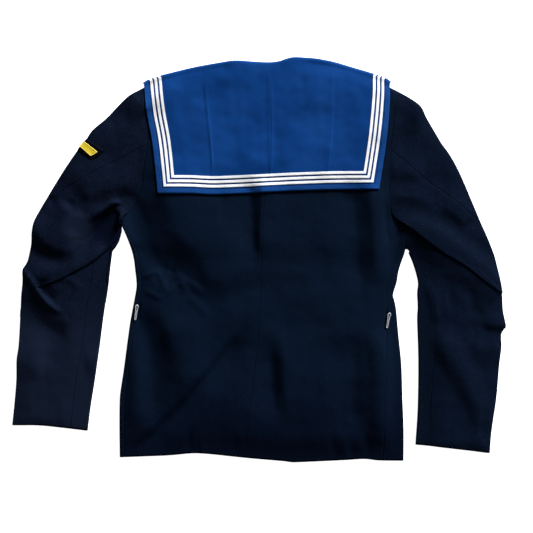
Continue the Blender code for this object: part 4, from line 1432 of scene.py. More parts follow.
@dataclass
class Stitching:
    """A row of stitches along paths, each an instance of one small spindle."""

    pitch: float = 2.6
    length: float = 2.1
    thickness: float = 0.35
    turn: float = 0.0
    seed: int = 3
    sway: ClassVar[float] = 0.12

    def tree(self) -> bpy.types.NodeTree:
        """Makes the node tree that lays the stitches, once.

        Returns:
            The tree.
        """
        name = "stitches along a path"
        if name in bpy.data.node_groups:
            return bpy.data.node_groups[name]
        tree = bpy.data.node_groups.new(name, "GeometryNodeTree")
        face = tree.interface
        kinds = {"Path": "Geometry", "Seed": "Int", "Thread": "Material"}
        for socket in ("Path", "Pitch", "Length", "Thickness", "Turn", "Seed", "Thread"):
            kind = "NodeSocket" + kinds.get(socket, "Float")
            face.new_socket(socket, in_out="INPUT", socket_type=kind)
        face.new_socket("Stitches", in_out="OUTPUT", socket_type="NodeSocketGeometry")

        grow = Tree(tree)
        given = grow.node("NodeGroupInput").outputs
        curve = grow.out("GeometryNodeMeshToCurve", Mesh=given["Path"])
        evened = grow.out("GeometryNodeResampleCurve", {"mode": "LENGTH"}, Curve=curve,
                          Length=given["Pitch"])
        ball = grow.out("GeometryNodeMeshUVSphere", Segments=6, Rings=4, Radius=0.5)
        size = grow.out("ShaderNodeCombineXYZ", X=given["Length"], Y=given["Thickness"],
                        Z=given["Thickness"])
        spindle = grow.out("GeometryNodeTransform", Geometry=ball, Scale=size)
        aligned = grow.out("FunctionNodeAlignRotationToVector", {"axis": "X"},
                           Vector=grow.out("GeometryNodeInputTangent"))
        sway = grow.node("FunctionNodeRandomValue", {"data_type": "FLOAT"},
                         {2: -self.sway, 3: self.sway, "Seed": given["Seed"]})
        turn = grow.node("ShaderNodeMath", {"operation": "ADD"},
                         {0: given["Turn"], 1: sway.outputs[1]})
        swing = grow.out("ShaderNodeCombineXYZ", Z=turn.outputs[0])
        turned = grow.out("FunctionNodeRotateRotation", {"rotation_space": "LOCAL"},
                          Rotation=aligned, Rotate_By=swing)
        laid = grow.out("GeometryNodeInstanceOnPoints", Points=evened, Instance=spindle,
                        Rotation=turned)
        real = grow.out("GeometryNodeRealizeInstances", Geometry=laid)
        dressed = grow.out("GeometryNodeSetMaterial", Geometry=real,
                           Material=given["Thread"])
        grow.node("NodeGroupOutput", inputs={0: dressed})
        return tree

    def lay(
        self, name: str, paths: Sequence[Array], finish: Finish, closed: bool = False
    ) -> Piece:
        """Lays stitches along paths.

        Args:
            name: The piece's name.
            paths: For each path its points in millimetres.
            finish: The thread.
            closed: Whether each path ends where it starts.

        Returns:
            The stitches as one plain mesh.
        """
        data = bpy.data.meshes.new(name + "_path")
        points, edges = [], []
        for path in paths:
            start, count = len(points), len(path)
            points += [tuple(point) for point in np.asarray(path) * MM]
            edges += [(start + i, start + i + 1) for i in range(count - 1)]
            if closed:
                edges.append((start + count - 1, start))
        data.from_pydata(points, edges, [])
        guide = linked(name + "_path", data)
        modifier = guide.modifiers.new("stitches", "NODES")
        modifier.node_group = tree = self.tree()
        values = {
            "Pitch": self.pitch * MM, "Length": self.length * MM,
            "Thickness": self.thickness * MM, "Turn": self.turn, "Seed": self.seed,
            "Thread": finish.material(),
        }
        for item in tree.interface.items_tree:
            if item.in_out == "INPUT" and item.name in values:
                modifier[item.identifier] = values[item.name]
        graph = bpy.context.evaluated_depsgraph_get()
        mesh = bpy.data.meshes.new_from_object(guide.evaluated_get(graph))
        mesh.name = name
        bpy.data.objects.remove(guide)
        bpy.data.meshes.remove(data)
        mesh.shade_smooth()
        piece = linked(name, mesh)
        finish.dress(piece)
        return piece


def placed(piece: Piece, *nodes: str) -> Piece:
    """Makes a piece ride on the jumper and stand for its nodes, and reports it.

    Args:
        piece: The piece.
        *nodes: The nodes of the solids that it stands for.

    Returns:
        The same piece.
    """
    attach(piece, "root")
    if nodes:
        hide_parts(*nodes)
    top = max(corner[2] for corner in piece.bound_box) / MM
    log.info("%s: %d faces, %.1f mm high", piece.name, len(piece.data.polygons), top)
    return piece


@dataclass
class Body:
    """The back in two panels and the front in one, with an open neck."""

    relief: Relief
    wall: float = 1.6
    rows: int = 122
    yoke_rows: int = 58
    across: int = 66
    under_columns: tuple[int, int, int] = (4, 34, 34)
    round_steps: int = 8

    def __post_init__(self) -> None:
        """Lays out the body's lines and patches."""
        left, right, hem = Line(SIDE_LEFT), Line(SIDE_RIGHT), Line(HEM)
        west, east = left.inset(EDGE_RADIUS, right), right.inset(EDGE_RADIUS, left)
        north = joined(Line(UNDERARM_LINE), Line(UNDERARM_RIGHT))
        fold = (0.97, None, DOWN)
        upper, under = self.relief.upper, self.relief.under
        self.tube = Tube(west, east, hem, north, upper, under, (fold, fold))
        across = self.tube.patch.north
        self.corner = across.share_near(UNDERARM_RIGHT[0])
        self.middle = across.share_near(NECK_POINT)
        neck_point = across.at(self.middle)
        self.shoulders = shoulders = [
            Line(points).inset(EDGE_RADIUS, hem)
            for points in (SHOULDER_LEFT, SHOULDER_RIGHT)
        ]
        armhole_left = Line(ARMHOLE_LEFT).fitted(across.at(0), shoulders[0].at(0))
        armhole_right = Line(ARMHOLE_RIGHT).fitted(
            across.at(self.corner), shoulders[1].at(1)
        )
        self.neck = Line(BACK_NECK).fitted(shoulders[0].at(1), shoulders[1].at(0))
        top = joined(shoulders[0], self.neck, shoulders[1])
        self.back = Patch(across.part(0, self.corner), top, armhole_left, armhole_right)
        neck_left = Line(np.vstack([neck_point, shoulders[0].at(1)]))
        neck_right = Line(np.vstack([neck_point, shoulders[1].at(0)]))
        self.front_left = Patch(
            across.part(0, self.middle), shoulders[0], armhole_left, neck_left
        )
        self.front_right = Patch(
            across.part(self.middle, self.corner), shoulders[1], neck_right, armhole_right
        )
        self.seam = Line(CENTRE_BACK)

    def grid(self, places: Array, shares: Array) -> Array:
        """Points of the tube at a table of places, one row for each share."""
        return gridded(self.tube.surface, places, shares[:, None])

    def shares(self) -> Array:
        """Shares of the way up from the hem, closer together at the underarm."""
        return np.append(np.linspace(0, 0.985, self.rows), 1.0)

    def yoke(self, u: Array, v: Array) -> Array:
        """Points of the back above the underarm."""
        plan = self.back.at(u, v)
        return at_height(plan, self.relief.upper(plan))

    def chest(self, patch: Patch, u: Array, v: Array) -> Array:
        """Points of the front above the underarm."""
        plan = patch.at(u, v)
        return at_height(plan, self.relief.under(plan))

    def back_panel(self, name: str, is_left: bool) -> Piece:
        """Makes half of the back.

        Args:
            name: The piece's name.
            is_left: Whether it is the left half.

        Returns:
            The piece.
        """
        cloth = Cloth(name + "_cloth", self.wall)
        shares = self.shares()
        centre = self.tube.patch.crossing(shares, self.seam)
        upper_shares = np.linspace(0, 1, self.yoke_rows)
        above = self.back.crossing(upper_shares, self.seam)
        above[0] = centre[-1] / self.corner
        if is_left:
            even = near_ends(self.across, 240)
            start = read(SIDE_SEAM_LEFT, shares)
            places = start[:, None] + (centre - start)[:, None] * even
            yoke = above[:, None] * even
        else:
            even = near_ends(self.across - 6, 225)
            side = read(SIDE_SEAM_RIGHT, shares)
            last = np.minimum(self.corner, side - 0.01)
            places = centre[:, None] + (last - centre)[:, None] * even
            rest = last[:, None] + (side - last)[:, None] * near_ends(8, 12, first=False)
            places = np.hstack([places, rest[:, 1:]])
            yoke = above[:, None] + (1 - above)[:, None] * even
        cloth.add(self.grid(places, shares), Seams())
        cloth.add(gridded(self.yoke, yoke, upper_shares[:, None]), Seams())
        piece = placed(cloth.build(BODY_SERGE), name)
        return piece

    def front_panel(self) -> Piece:
        """Makes the front, which turns up round the sides and over the shoulders.

        Returns:
            The piece.
        """
        cloth = Cloth("front_cloth", self.wall)
        shares = self.shares()
        start, end = read(SIDE_SEAM_RIGHT, shares), 4 + read(SIDE_SEAM_LEFT, shares)
        east = start[:, None] + (1 - start)[:, None] * near_ends(11, 30, last=False)
        under_stops = (2, 3 - self.corner, 3 - self.middle, 3)
        fixed = np.concatenate([
            np.linspace(1, 2, self.round_steps + 1)[1:-1],
            spread(under_stops, self.under_columns),
            np.linspace(3, 4, self.round_steps + 1)[1:],
        ])
        west = 4 + (end - 4)[:, None] * np.linspace(0, 1, 4)[1:]
        fixed = np.broadcast_to(fixed, (len(shares), len(fixed)))
        places = np.hstack([east, fixed, west])
        cloth.add(self.grid(places, shares), Seams())
        rows = np.linspace(0, 1, self.yoke_rows // 3)
        angles = np.linspace(-math.pi / 2, math.pi / 2, self.round_steps + 1)[1:]
        for patch, count, shoulder, flip in (
            (self.front_left, self.under_columns[2], self.shoulders[0], False),
            (self.front_right, self.under_columns[1], self.shoulders[1], True),
        ):
            u = np.linspace(0, 1, count + 1)
            low = gridded(partial(self.chest, patch), u, rows[:, None])
            plan = shoulder.at(u)
            outward = -shoulder.normal(u, NECK_POINT)
            above = [
                rounded(plan, outward, angle, EDGE_RADIUS, self.relief.under(plan),
                        self.relief.upper(plan)) for angle in angles
            ]
            above[-1][:, 1] += GAP
            cloth.add(np.vstack([low, np.array(above)]),
                      Seams(start=not flip, end=flip, depth=0.0))
        piece = placed(cloth.build(BODY_SERGE), "front")
        return piece

    def armhole(self, is_left: bool) -> Line:
        """Finds the edge of an armhole.

        Args:
            is_left: Whether it is the left one.

        Returns:
            The line from the shoulder to the underarm.
        """
        edge = self.back.west if is_left else self.back.east
        points = edge.points[::-1]
        if not is_left:
            across = self.tube.patch.north
            points = np.vstack([points, across.points[across.shares > self.corner + 0.001]])
        return Line(points, rounded=False)


@dataclass
class Sleeve:
    """A two-piece sleeve that rolls over its forearm in a fold at the elbow."""

    side: str
    armhole: Line
    outlines: tuple[Table, Table, Table, Table]
    lines: tuple[Table, Table]
    lip_rise: Table
    roll: tuple[float, float]
    finish: Serge
    relief: Relief
    wall: float = 1.6
    overhang: float = 5.0
    reach: float = 44.0
    run: float = 13.0
    edge_weight: float = 0.2
    step: float = 3.4
    columns: int = 72
    width: float = 190.0

    def __post_init__(self) -> None:
        """Lays out the upper arm and the forearm on each side of the lip."""
        outer, inner, lip, cuff = (Line(points) for points in self.outlines)
        outer, inner = outer.inset(EDGE_RADIUS, inner), inner.inset(EDGE_RADIUS, outer)
        elbow = outer.share_near(lip.at(1)[0])
        edge = self.armhole.inset(GAP, outer)
        # -1 for the left arm and 1 for the right one
        self.hand = math.copysign(1.0, edge.points[0][0])
        upper_outer = outer.part(0, elbow)
        short = Line(np.vstack([edge.at(1), inner.at(0)]))
        inward = (-0.7 * self.hand, -0.7)
        self.upper_arm = Tube(
            upper_outer.fitted(edge.at(0), upper_outer.at(1)), short, edge,
            lip.part(1, 0), self.arm_height, self.relief.under,
            (None, (0.0, DOWN, inward)),
        )
        self.lip = self.upper_arm.patch.north
        self.forearm = Tube(
            outer.part(elbow, 1), inner, self.lip, cuff,
            self.relief.upper, self.relief.under,
        )
        self.start = self.run / self.forearm.edges[1].length

    def arm_height(self, plan: Array) -> Array:
        """Finds the height of the upper arm, which rises to the lip.

        Args:
            plan: Places in plan.

        Returns:
            The heights.
        """
        distance, share, _ = self.lip.nearest(plan)
        rise = read(self.lip_rise, share) * fading(distance, self.reach)
        return self.relief.capped(self.relief.upper(plan) + rise)

    def surface(self, place: Array, key: Array) -> Array:
        """Finds points of the outside.

        Args:
            place: The places round the sleeve.
            key: 0 to 1 on the upper arm, 1 to 2 in the roll, 2 to 3 on the forearm.

        Returns:
            The points.
        """
        points = np.empty((len(place), 3))
        arm, fore = key <= 1, key >= 2
        roll = ~arm & ~fore
        points[arm] = self.upper_arm.surface(place[arm], key[arm])
        v = self.start + (key[fore] - 2) * (1 - self.start)
        points[fore] = self.forearm.surface(place[fore], v)
        points[roll] = self.rolled(place[roll], key[roll] - 1)
        return points

    def rolled(self, place: Array, share: Array) -> Array:
        """Finds points of the roll between the upper arm and the forearm.

        Args:
            place: The places round the sleeve.
            share: The shares through the roll.

        Returns:
            The points.
        """
        flat = self.forearm.surface(place, self.start * share)
        top = self.upper_arm.surface(place, np.ones(len(place)))
        flat[:, 2] = mixed(top[:, 2:], flat[:, 2:], smoothstep(share)).ravel()
        turned = np.mod(place + 0.5, 4) - 0.5
        u = np.clip(turned, 0, 1)
        first, last = self.roll
        amount = smoothstep((u - first) / (last - first)) * fading(turned, 0.3, 1)
        lip = self.lip.at(u)
        step = self.forearm.patch.at(u, self.start) - lip
        length = np.linalg.norm(step, axis=1)
        inner_end = 1 - 0.7 * smoothstep((u - 0.82) / 0.16)
        over = read(ROLL_PROFILE, share, 1) * self.overhang * inner_end
        # The last stretch of the profile ends on the forearm
        landing, run = ROLL_PROFILE[-2][0], ROLL_PROFILE[-1][1] * self.overhang
        rest = np.maximum(share - landing, 0) / (1 - landing)
        over += (length - run) * rest
        plan = lip + step / length[:, None] * over[:, None]
        low, high = self.relief.upper(plan), self.arm_height(lip)
        height = low + read(ROLL_PROFILE, share, 2) * (high - low)
        return mixed(flat, at_height(plan, height), amount)

    def unrolled(self, place: Array) -> Array:
        """Turns places into a run in which an edge counts for little.

        Args:
            place: The places round the sleeve.

        Returns:
            The runs.
        """
        turns, rest = np.divmod(place, 2)
        edge = self.edge_weight
        run = np.where(rest < 1, rest, 1 + (rest - 1) * edge)
        return turns * (1 + edge) + run

    def wrapped(self, run: Array) -> Array:
        """The places at these runs."""
        turns, rest = np.divmod(run, 1 + self.edge_weight)
        return turns * 2 + np.where(rest < 1, rest, 1 + (rest - 1) / self.edge_weight)

    def keys(self) -> Array:
        """Spaces the rows from the armhole to the cuff.

        Returns:
            The keys of the rows.
        """
        arm = self.upper_arm.edges[0].length
        fore = self.forearm.edges[0].length
        upper = near_ends(round(arm / self.step), arm, last=False)
        roll = 1 + np.linspace(0, 1, 27)[1:-1]
        lower = 2 + np.linspace(0, 1, round(fore / self.step))
        return np.concatenate([upper, roll, lower])

    def hind(self, keys: Array) -> Array:
        """Follows the hind-arm seam over the upper arm and its outer edge.

        Args:
            keys: The keys of the rows.

        Returns:
            The places of the seam.
        """
        v = np.linspace(0, 1, 120)
        shown = self.upper_arm.patch.crossing(v, Line(self.lines[0]), self.hand)
        gone = v[shown < 1e-4][0]
        below = HIND_BELOW[0][1] * (v - gone) / (1 - gone)
        upper = np.interp(keys, v, np.where(v < gone, shown, below))
        return np.where(keys <= 1, upper, read(HIND_BELOW, keys))

    def fore(self, keys: Array) -> Array:
        """Follows the forearm seam: hidden, round into the roll, then down.

        Args:
            keys: The keys of the rows.

        Returns:
            The places of the seam.
        """
        v = self.start + np.clip(keys - 2, 0, 1) * (1 - self.start)
        shown = self.forearm.patch.crossing(v, Line(self.lines[1]), self.hand)
        last, place = FORE_ABOVE[-1]
        share = smoothstep((keys - last) / (1 + ROLLED_UNDER - last))
        rolled = place + (shown - place) * share
        return np.where(keys <= last, read(FORE_ABOVE, keys), rolled)

    def piece(
        self, name: str, start: Array, end: Array, keys: Array
    ) -> Piece:
        """Makes one piece between two seams.

        Args:
            name: The piece's name.
            start: The places of its first seam.
            end: The places of its last seam.
            keys: The keys of the rows.

        Returns:
            The piece.
        """
        start, end = self.unrolled(start), self.unrolled(end)
        even = near_ends(self.columns, self.width)
        places = self.wrapped(start[:, None] + (end - start)[:, None] * even)
        cloth = Cloth(name + "_cloth", self.wall)
        cloth.add(gridded(self.surface, places, keys[:, None]), Seams(first=True))
        return placed(cloth.build(self.finish), name)

    def build(self) -> None:
        """Makes the under sleeve and the top sleeve."""
        keys = self.keys()
        hind, fore = self.hind(keys), self.fore(keys)
        seams = {"under_sleeve": (hind, fore), "top_sleeve": (fore, hind + 4)}
        for kind, (start, end) in seams.items():
            piece = self.piece(f"{kind}_{self.side}", start, end, keys)


@dataclass
class Badge:
    """A chevron on its patch, wrapped round the edge of the left sleeve."""

    sleeve: Sleeve
    place: ClassVar[tuple[float, float]] = (-304.0, 200.0)
    lift_of_cloth: ClassVar[float] = 3.6
    width: float = 12.0
    arm: float = 25.0
    hidden_arm: float = 15.0
    turn: float = math.radians(38)
    margin: float = 6.0
    patch_wall: float = 0.6
    chevron_wall: float = 0.9
    stitches_in: float = 1.4
    cord_in: float = 0.7
    thread_lift: float = 0.1
    steps: int = 8

    def spots(
        self, along: Array, across: Array, height: Array
    ) -> Array:
        """Finds points over the sleeve round its outer edge.

        Args:
            along: Distances from the shoulder along the edge.
            across: Distances in from the edge fold, below 0 round it.
            height: Distances out from the cloth.

        Returns:
            The points.
        """
        sleeve, relief = self.sleeve, self.sleeve.relief
        edge = sleeve.upper_arm.edges[0]
        share = along / edge.length
        start = edge.at(share)
        inward = edge.normal(share, sleeve.upper_arm.edges[1].at(0.5)[0])
        bend = math.pi * EDGE_RADIUS
        over, below = across >= 0, across <= -bend
        reach = np.where(over, across, np.where(below, -across - bend, 0))
        plan = start + inward * reach[:, None]
        turn = math.pi / 2 + np.clip(across, -bend, 0) / EDGE_RADIUS
        low = np.maximum(relief.under(plan) - height, 0.1)
        high = sleeve.arm_height(plan) + height
        round_out = -inward * ((EDGE_RADIUS + height) * np.cos(turn))[:, None]
        middle = (low + high) / 2 + (high - low) / 2 * np.sin(turn)
        return at_height(plan + round_out * (~over & ~below)[:, None], middle)

    def sides(self, margin: float) -> tuple[Array, Array]:
        """Lays out both long sides of the V.

        Args:
            margin: How far they are from the chevron.

        Returns:
            The upper and the lower side as along, across, in matching steps.
        """
        edge = self.sleeve.upper_arm.edges[0]
        middle = edge.share_near(self.place) * edge.length
        half = self.width / 2 + margin
        slant = half * math.tan(self.turn / 2)
        reach = self.arm + self.hidden_arm + margin
        stops = []
        for side in (-1, 1):
            tip = -self.hidden_arm - side * slant
            line = middle + side * half
            straight = (self.arm + margin - side * slant, 0.0, -math.pi * EDGE_RADIUS, tip)
            end = (line - math.sin(self.turn) * reach, tip - math.cos(self.turn) * reach)
            stops.append([*((line, across) for across in straight), end])
        counts = (self.steps * 2, self.steps, self.steps // 2, self.steps * 3)
        return tuple(
            np.column_stack([
                spread([stop[axis] for stop in side], counts) for axis in (0, 1)
            ]) for side in stops
        )

    def strip(
        self, name: str, margin: float, lift: float, wall: float, finish: Finish,
        profile: Table,
    ) -> Piece:
        """Makes a V-shaped strip.

        Args:
            name: The piece's name.
            margin: How much it is larger than the chevron all round.
            lift: How far its inside is from the sleeve.
            wall: Its thickness.
            finish: What it is dressed in.
            profile: Its height from one long side to the other.

        Returns:
            The piece.
        """
        upper, lower = self.sides(margin)
        rows = []
        for share, rise in profile:
            flat = upper + (lower - upper) * share
            height = np.full(len(flat), lift + wall + rise)
            height[[0, -1]] = lift + wall + profile[0][1]
            rows.append(self.spots(flat[:, 0], flat[:, 1], height))
        grid = np.array(rows).transpose(1, 0, 2)
        cloth = Cloth(name + "_cloth", wall)
        cloth.add(grid, UNSEWN)
        return cloth.build(finish)

    def outline(self, margin: float, lift: float) -> Array:
        """Runs a path round the V.

        Args:
            margin: How far it is from the chevron.
            lift: How far out from the sleeve it lies.

        Returns:
            The points.
        """
        upper, lower = self.sides(margin)
        inside = np.linspace(0, 1, self.steps + 1)[1:-1]
        end = mixed(lower[-1:], upper[-1:], inside)
        start = mixed(upper[:1], lower[:1], inside)
        ring = np.vstack([lower, end, upper[::-1], start])
        return self.spots(ring[:, 0], ring[:, 1], np.full(len(ring), lift))

    def build(self) -> None:
        """Makes the patch, its stitching, the chevron and its corded border."""
        flat = [(share, 0.0) for share in np.linspace(0, 1, self.steps + 1)]
        patch = self.strip(
            "badge_patch", self.margin, GAP, self.patch_wall, BADGE_SERGE, flat
        )
        placed(patch, "badge_patch")
        patch_top = GAP + self.patch_wall
        inside, above = self.margin - self.stitches_in, patch_top + self.thread_lift
        thread = Stitching(3.2, 2.6, 0.5).lay(
            "badge_stitches", [self.outline(inside, above)], NAVY_THREAD, closed=True
        )
        placed(thread)
        width, arms = self.width + 2 * self.margin, self.arm + self.hidden_arm
        ridges = (
            (0.0, 0.0), (0.05, 0.22), (0.12, 0.24), (0.18, 0.1), (0.22, 0.0),
            (0.34, 0.1), (0.42, 0.12), (0.5, -0.12), (0.58, 0.12), (0.66, 0.1),
            (0.78, 0.0), (0.82, 0.1), (0.88, 0.24), (0.95, 0.22), (1.0, 0.0),
        )
        lift = patch_top + 1.2 * GAP
        chevron = self.strip("chevron", 0.0, lift, self.chevron_wall, SATIN, ridges)
        placed(chevron, "chevron")
        above = lift + self.chevron_wall + self.thread_lift
        cord = Stitching(0.8, 1.15, 0.75, turn=0.6).lay(
            "chevron_cord", [self.outline(-self.cord_in, above)], PALE_GOLD, closed=True
        )
        placed(cord)
        width * 2 * (arms + self.margin) * MM * MM


@dataclass
class Collar:
    """The square flap, its fold over the shoulders, its ends and its tapes."""

    body: Body
    wall: float = 1.2
    loose: float = 0.7
    rows: int = 74
    round_steps: int = 10
    end_rows: int = 24
    creases: tuple[float, ...] = (0.251, 0.511, 0.761)
    crease_height: float = 0.55
    crease_reach: float = 5.0
    tape_wall: float = 0.4
    tape_crown: float = 0.12
    hem: float = 7.6
    ends_below: float = 5.0
    no_hem: float = 30.0
    tape_step: float = 3.0

    def __post_init__(self) -> None:
        """Lays out the flap, the fold and the ends."""
        bottom = Line(COLLAR_BOTTOM)
        self.relief = self.body.relief
        self.fold = Line(COLLAR_TOP).inset(COLLAR_EDGE, bottom)
        self.left_turn = self.fold.share_near(SHOULDER_LEFT[-1])
        self.right_turn = self.fold.share_near(SHOULDER_RIGHT[0])
        west = Line(COLLAR_LEFT).fitted(bottom.at(0), self.fold.at(0))
        east = Line(COLLAR_RIGHT).fitted(bottom.at(1), self.fold.at(1))
        self.flap = Patch(bottom, self.fold, west, east)
        ends = []
        for outline, turn, corner in (
            (COLLAR_FRONT_LEFT, self.left_turn, 0.0),
            (COLLAR_FRONT_RIGHT, self.right_turn, 1.0),
        ):
            low = outline[-1]
            high = (low[0], NECK_POINT[1] - 0.5)
            ends.append(Patch(
                self.fold.part(corner, turn), Line((low, high)),
                Line(outline).fitted(self.fold.at(corner), low),
                Line((self.fold.at(turn)[0], high)),
            ))
        self.ends = ends
        neck = self.body.neck.at(np.linspace(0, 1, 25)) + (0, GAP)
        west = Line((self.fold.at(self.left_turn)[0], neck[0] + (0.6, 0)))
        east = Line((self.fold.at(self.right_turn)[0], neck[-1] - (0.6, 0)))
        self.stand = Patch(
            self.fold.part(self.left_turn, self.right_turn),
            Line(neck, rounded=False), west, east,
        )
        self.angles = np.linspace(math.pi / 2, -math.pi / 2, self.round_steps + 1)[1:]

    def flap_top(self, plan: Array) -> Array:
        """Finds the height of the flap's outside.

        Args:
            plan: Places in plan.

        Returns:
            The heights.
        """
        loose = np.maximum(self.loose + heaped(COLLAR_FOLDS, plan), 0)
        loose *= smoothstep(self.fold.nearest(plan)[0] / 25)
        return self.relief.upper(plan) + GAP + COLLAR_CLOTH + loose

    def pressed(self, u: Array, v: Array) -> Array:
        """Finds the height of the pressed creases, which fade at the hem.

        Args:
            u: The shares across the flap.
            v: The shares up it.

        Returns:
            The heights.
        """
        width = self.fold.length
        total = np.zeros(len(u))
        for crease in self.creases:
            away = np.clip(np.abs(u - crease) * width / self.crease_reach, 0, 1)
            total += self.crease_height * (1 - away) ** 1.5
        return total * smoothstep((v - 0.02) / 0.25) * smoothstep((0.98 - v) / 0.2)

    def flap_points(self, u: Array, v: Array, lift: float = 0.0) -> Array:
        """Outside points of the flap, or of what lies on it."""
        plan = self.flap.at(u, v)
        return at_height(plan, self.flap_top(plan) + self.pressed(u, v) + lift)

    def under_height(self, place: Array) -> Array:
        """Finds the height of the outside below the fold.

        Args:
            place: The shares along the fold.

        Returns:
            Heights, low at the ends.
        """
        share = (place - self.left_turn) / (self.right_turn - self.left_turn)
        rise = LAYERS + FRONT_LIFT - 2.0 - COLLAR_UNDER
        return COLLAR_UNDER + rise * smoothstep(np.minimum(share, 1 - share) / 0.22)

    def fold_points(
        self, place: Array, angle: float, lift: float = 0.0
    ) -> Array:
        """Finds points on the rounded fold, or of what lies on it.

        Args:
            place: The shares along the fold.
            angle: The turn, from a quarter turn above to a quarter turn below.
            lift: How far out from the cloth they lie.

        Returns:
            The points.
        """
        plan = self.fold.at(place)
        outward = -self.fold.normal(place, NECK_POINT)
        high = self.relief.upper(plan) + GAP + COLLAR_CLOTH + lift
        low = self.under_height(place) - lift
        return rounded(plan, outward, angle, COLLAR_EDGE + lift, low, high)

    @staticmethod
    def end_points(
        patch: Patch, u: Array, v: Array, lift: float = 0.0
    ) -> Array:
        """Outside points of an end under the front, or of what lies on it."""
        return at_height(patch.at(u, v), COLLAR_UNDER - lift)

    def columns(self) -> Array:
        """Spaces the columns, close at the creases and the edges.

        Returns:
            The shares across the flap.
        """
        width = self.fold.length
        fine = np.array([-5.0, -3.6, -2.4, -1.4, -0.6, 0.0, 0.6, 1.4, 2.4, 3.6, 5.0])
        stops = [np.linspace(0, 1, 128)]
        for crease in self.creases:
            even = stops[0]
            stops[0] = even[np.abs(even - crease) * width > 6]
            stops.append(crease + fine / width)
        turns = [self.left_turn, self.right_turn]
        edges = np.array([0.6, 1.4]) / width
        return np.unique(np.concatenate([*stops, turns, edges, 1 - edges]))

    def build_cloth(self) -> Piece:
        """Makes the flap, the fold, both ends and the stand as one piece.

        Returns:
            The piece.
        """
        cloth = Cloth("collar_cloth", self.wall)
        u = self.columns()
        flat = gridded(self.flap_points, u, np.linspace(0, 1, self.rows)[:, None])
        bend = np.array([self.fold_points(u, angle) for angle in self.angles])
        cloth.add(np.vstack([flat, bend]), UNSEWN)
        low, high = self.left_turn, self.right_turn
        for patch, inside, first, last in (
            (self.ends[0], u <= low + 1e-6, 0.0, low),
            (self.ends[1], u >= high - 1e-6, 1.0, high),
        ):
            part = (u[inside] - first) / (last - first)
            down = np.linspace(0, 1, self.end_rows)[1:, None]
            rows = gridded(partial(self.end_points, patch), part, down)
            cloth.add(np.vstack([bend[-1:, inside], rows]), UNSEWN)
        inside = (u >= low - 1e-6) & (u <= high + 1e-6)
        part = (u[inside] - low) / (high - low)
        rows = [bend[-1, inside]]
        for share in np.linspace(0, 1, 6)[1:]:
            plan = self.stand.at(part, share)
            rows.append(at_height(plan, self.under_height(u[inside])))
        cloth.add(np.array(rows), UNSEWN)
        piece = cloth.build(COLLAR_JEAN)
        self.mark_margin(piece)
        return piece

    def mark_margin(self, piece: Piece) -> None:
        """Notes on the mesh how near each point is to the flap's hem.

        Args:
            piece: The collar.
        """
        data = piece.data
        points = np.empty(len(data.vertices) * 3)
        data.vertices.foreach_get("co", points)
        points = points.reshape(-1, 3) / MM
        edge = joined(self.flap.west.part(1, 0), self.flap.south, self.flap.east)
        distance = edge.nearest(points[:, :2])[0]
        # The ends under the front have no hem that shows
        distance[points[:, 2] < self.ends_below] = self.no_hem
        layer = data.attributes.new("hem", "FLOAT", "POINT")
        layer.data.foreach_set("value", distance)

    def tape_rows(self, distance: float, columns: Array) -> Array:
        """Finds the outside of a tape from one end of the collar to the other.

        Args:
            distance: How far its outer edge is from the collar's.
            columns: Shares across the tape.

        Returns:
            The points, a row for each step along the tape.
        """
        lift = GAP + self.tape_wall
        height = self.flap.west.length
        reach = distance + columns * TAPE_WIDTH
        crown = lift + self.tape_crown * np.sin(math.pi * columns)

        def inward(v: Array) -> Array:
            """Shares across the flap at this reach from its side."""
            return reach / self.flap.east.apart(self.flap.west, v)

        def upward(u: Array) -> Array:
            """Shares up the flap at this reach from its bottom."""
            return reach / self.flap.north.apart(self.flap.south, u)

        down = np.linspace(0, 1, round(height / self.tape_step))[:, None]
        corner = inward(reach / height)
        left_v = 1 + (upward(corner) - 1) * down
        right_v = 1 + (upward(1 - corner) - 1) * down
        across = np.linspace(0, 1, round(380 / self.tape_step))[1:-1, None]
        bottom_u = corner + (1 - 2 * corner) * across
        u = np.vstack([inward(left_v), bottom_u, 1 - inward(right_v)[::-1]])
        v = np.vstack([left_v, upward(bottom_u), right_v[::-1]])
        flat = gridded(self.flap_points, u, v)
        flat[..., 2] += crown
        sides = []
        for patch, is_left in ((self.ends[0], True), (self.ends[1], False)):
            place = reach / self.fold.length
            place = place if is_left else 1 - place
            rows = [self.fold_points(place, angle, lift) for angle in self.angles]
            for share in np.linspace(0, 1, self.end_rows)[1:]:
                u = reach / patch.east.apart(patch.west, share)
                rows.append(self.end_points(patch, u, share, lift))
            sides.append(rows)
        return np.vstack([sides[0][::-1], flat, sides[1]])

    def seen_lines(self, distance: float, *columns: float) -> Array:
        """Lines along a tape at shares across it, on top of the jumper."""
        rows = self.tape_rows(distance, np.array(columns))
        return rows[rows[:, 0, 2] > LAYERS + 2].transpose(1, 0, 2)

    def build_tapes(self) -> list[Piece]:
        """Makes the three tapes and the stitches along their edges.

        Returns:
            The tapes and their stitches.
        """
        pieces = []
        columns = np.array([0.0, 0.06, 0.25, 0.5, 0.75, 0.94, 1.0])
        for name, distance in TAPE_MARGINS.items():
            cloth = Cloth(name + "_cloth", self.tape_wall)
            cloth.add(self.tape_rows(distance, columns), UNSEWN)
            pieces.append(placed(cloth.build(COLLAR_TAPE), name))
            paths = self.seen_lines(distance, 0.16, 0.84) + (0, 0, 0.06)
            stitches = Stitching(2.4, 1.7, 0.3).lay(name + "_stitches", paths, WHITE_THREAD)
            pieces.append(placed(stitches))
        return pieces

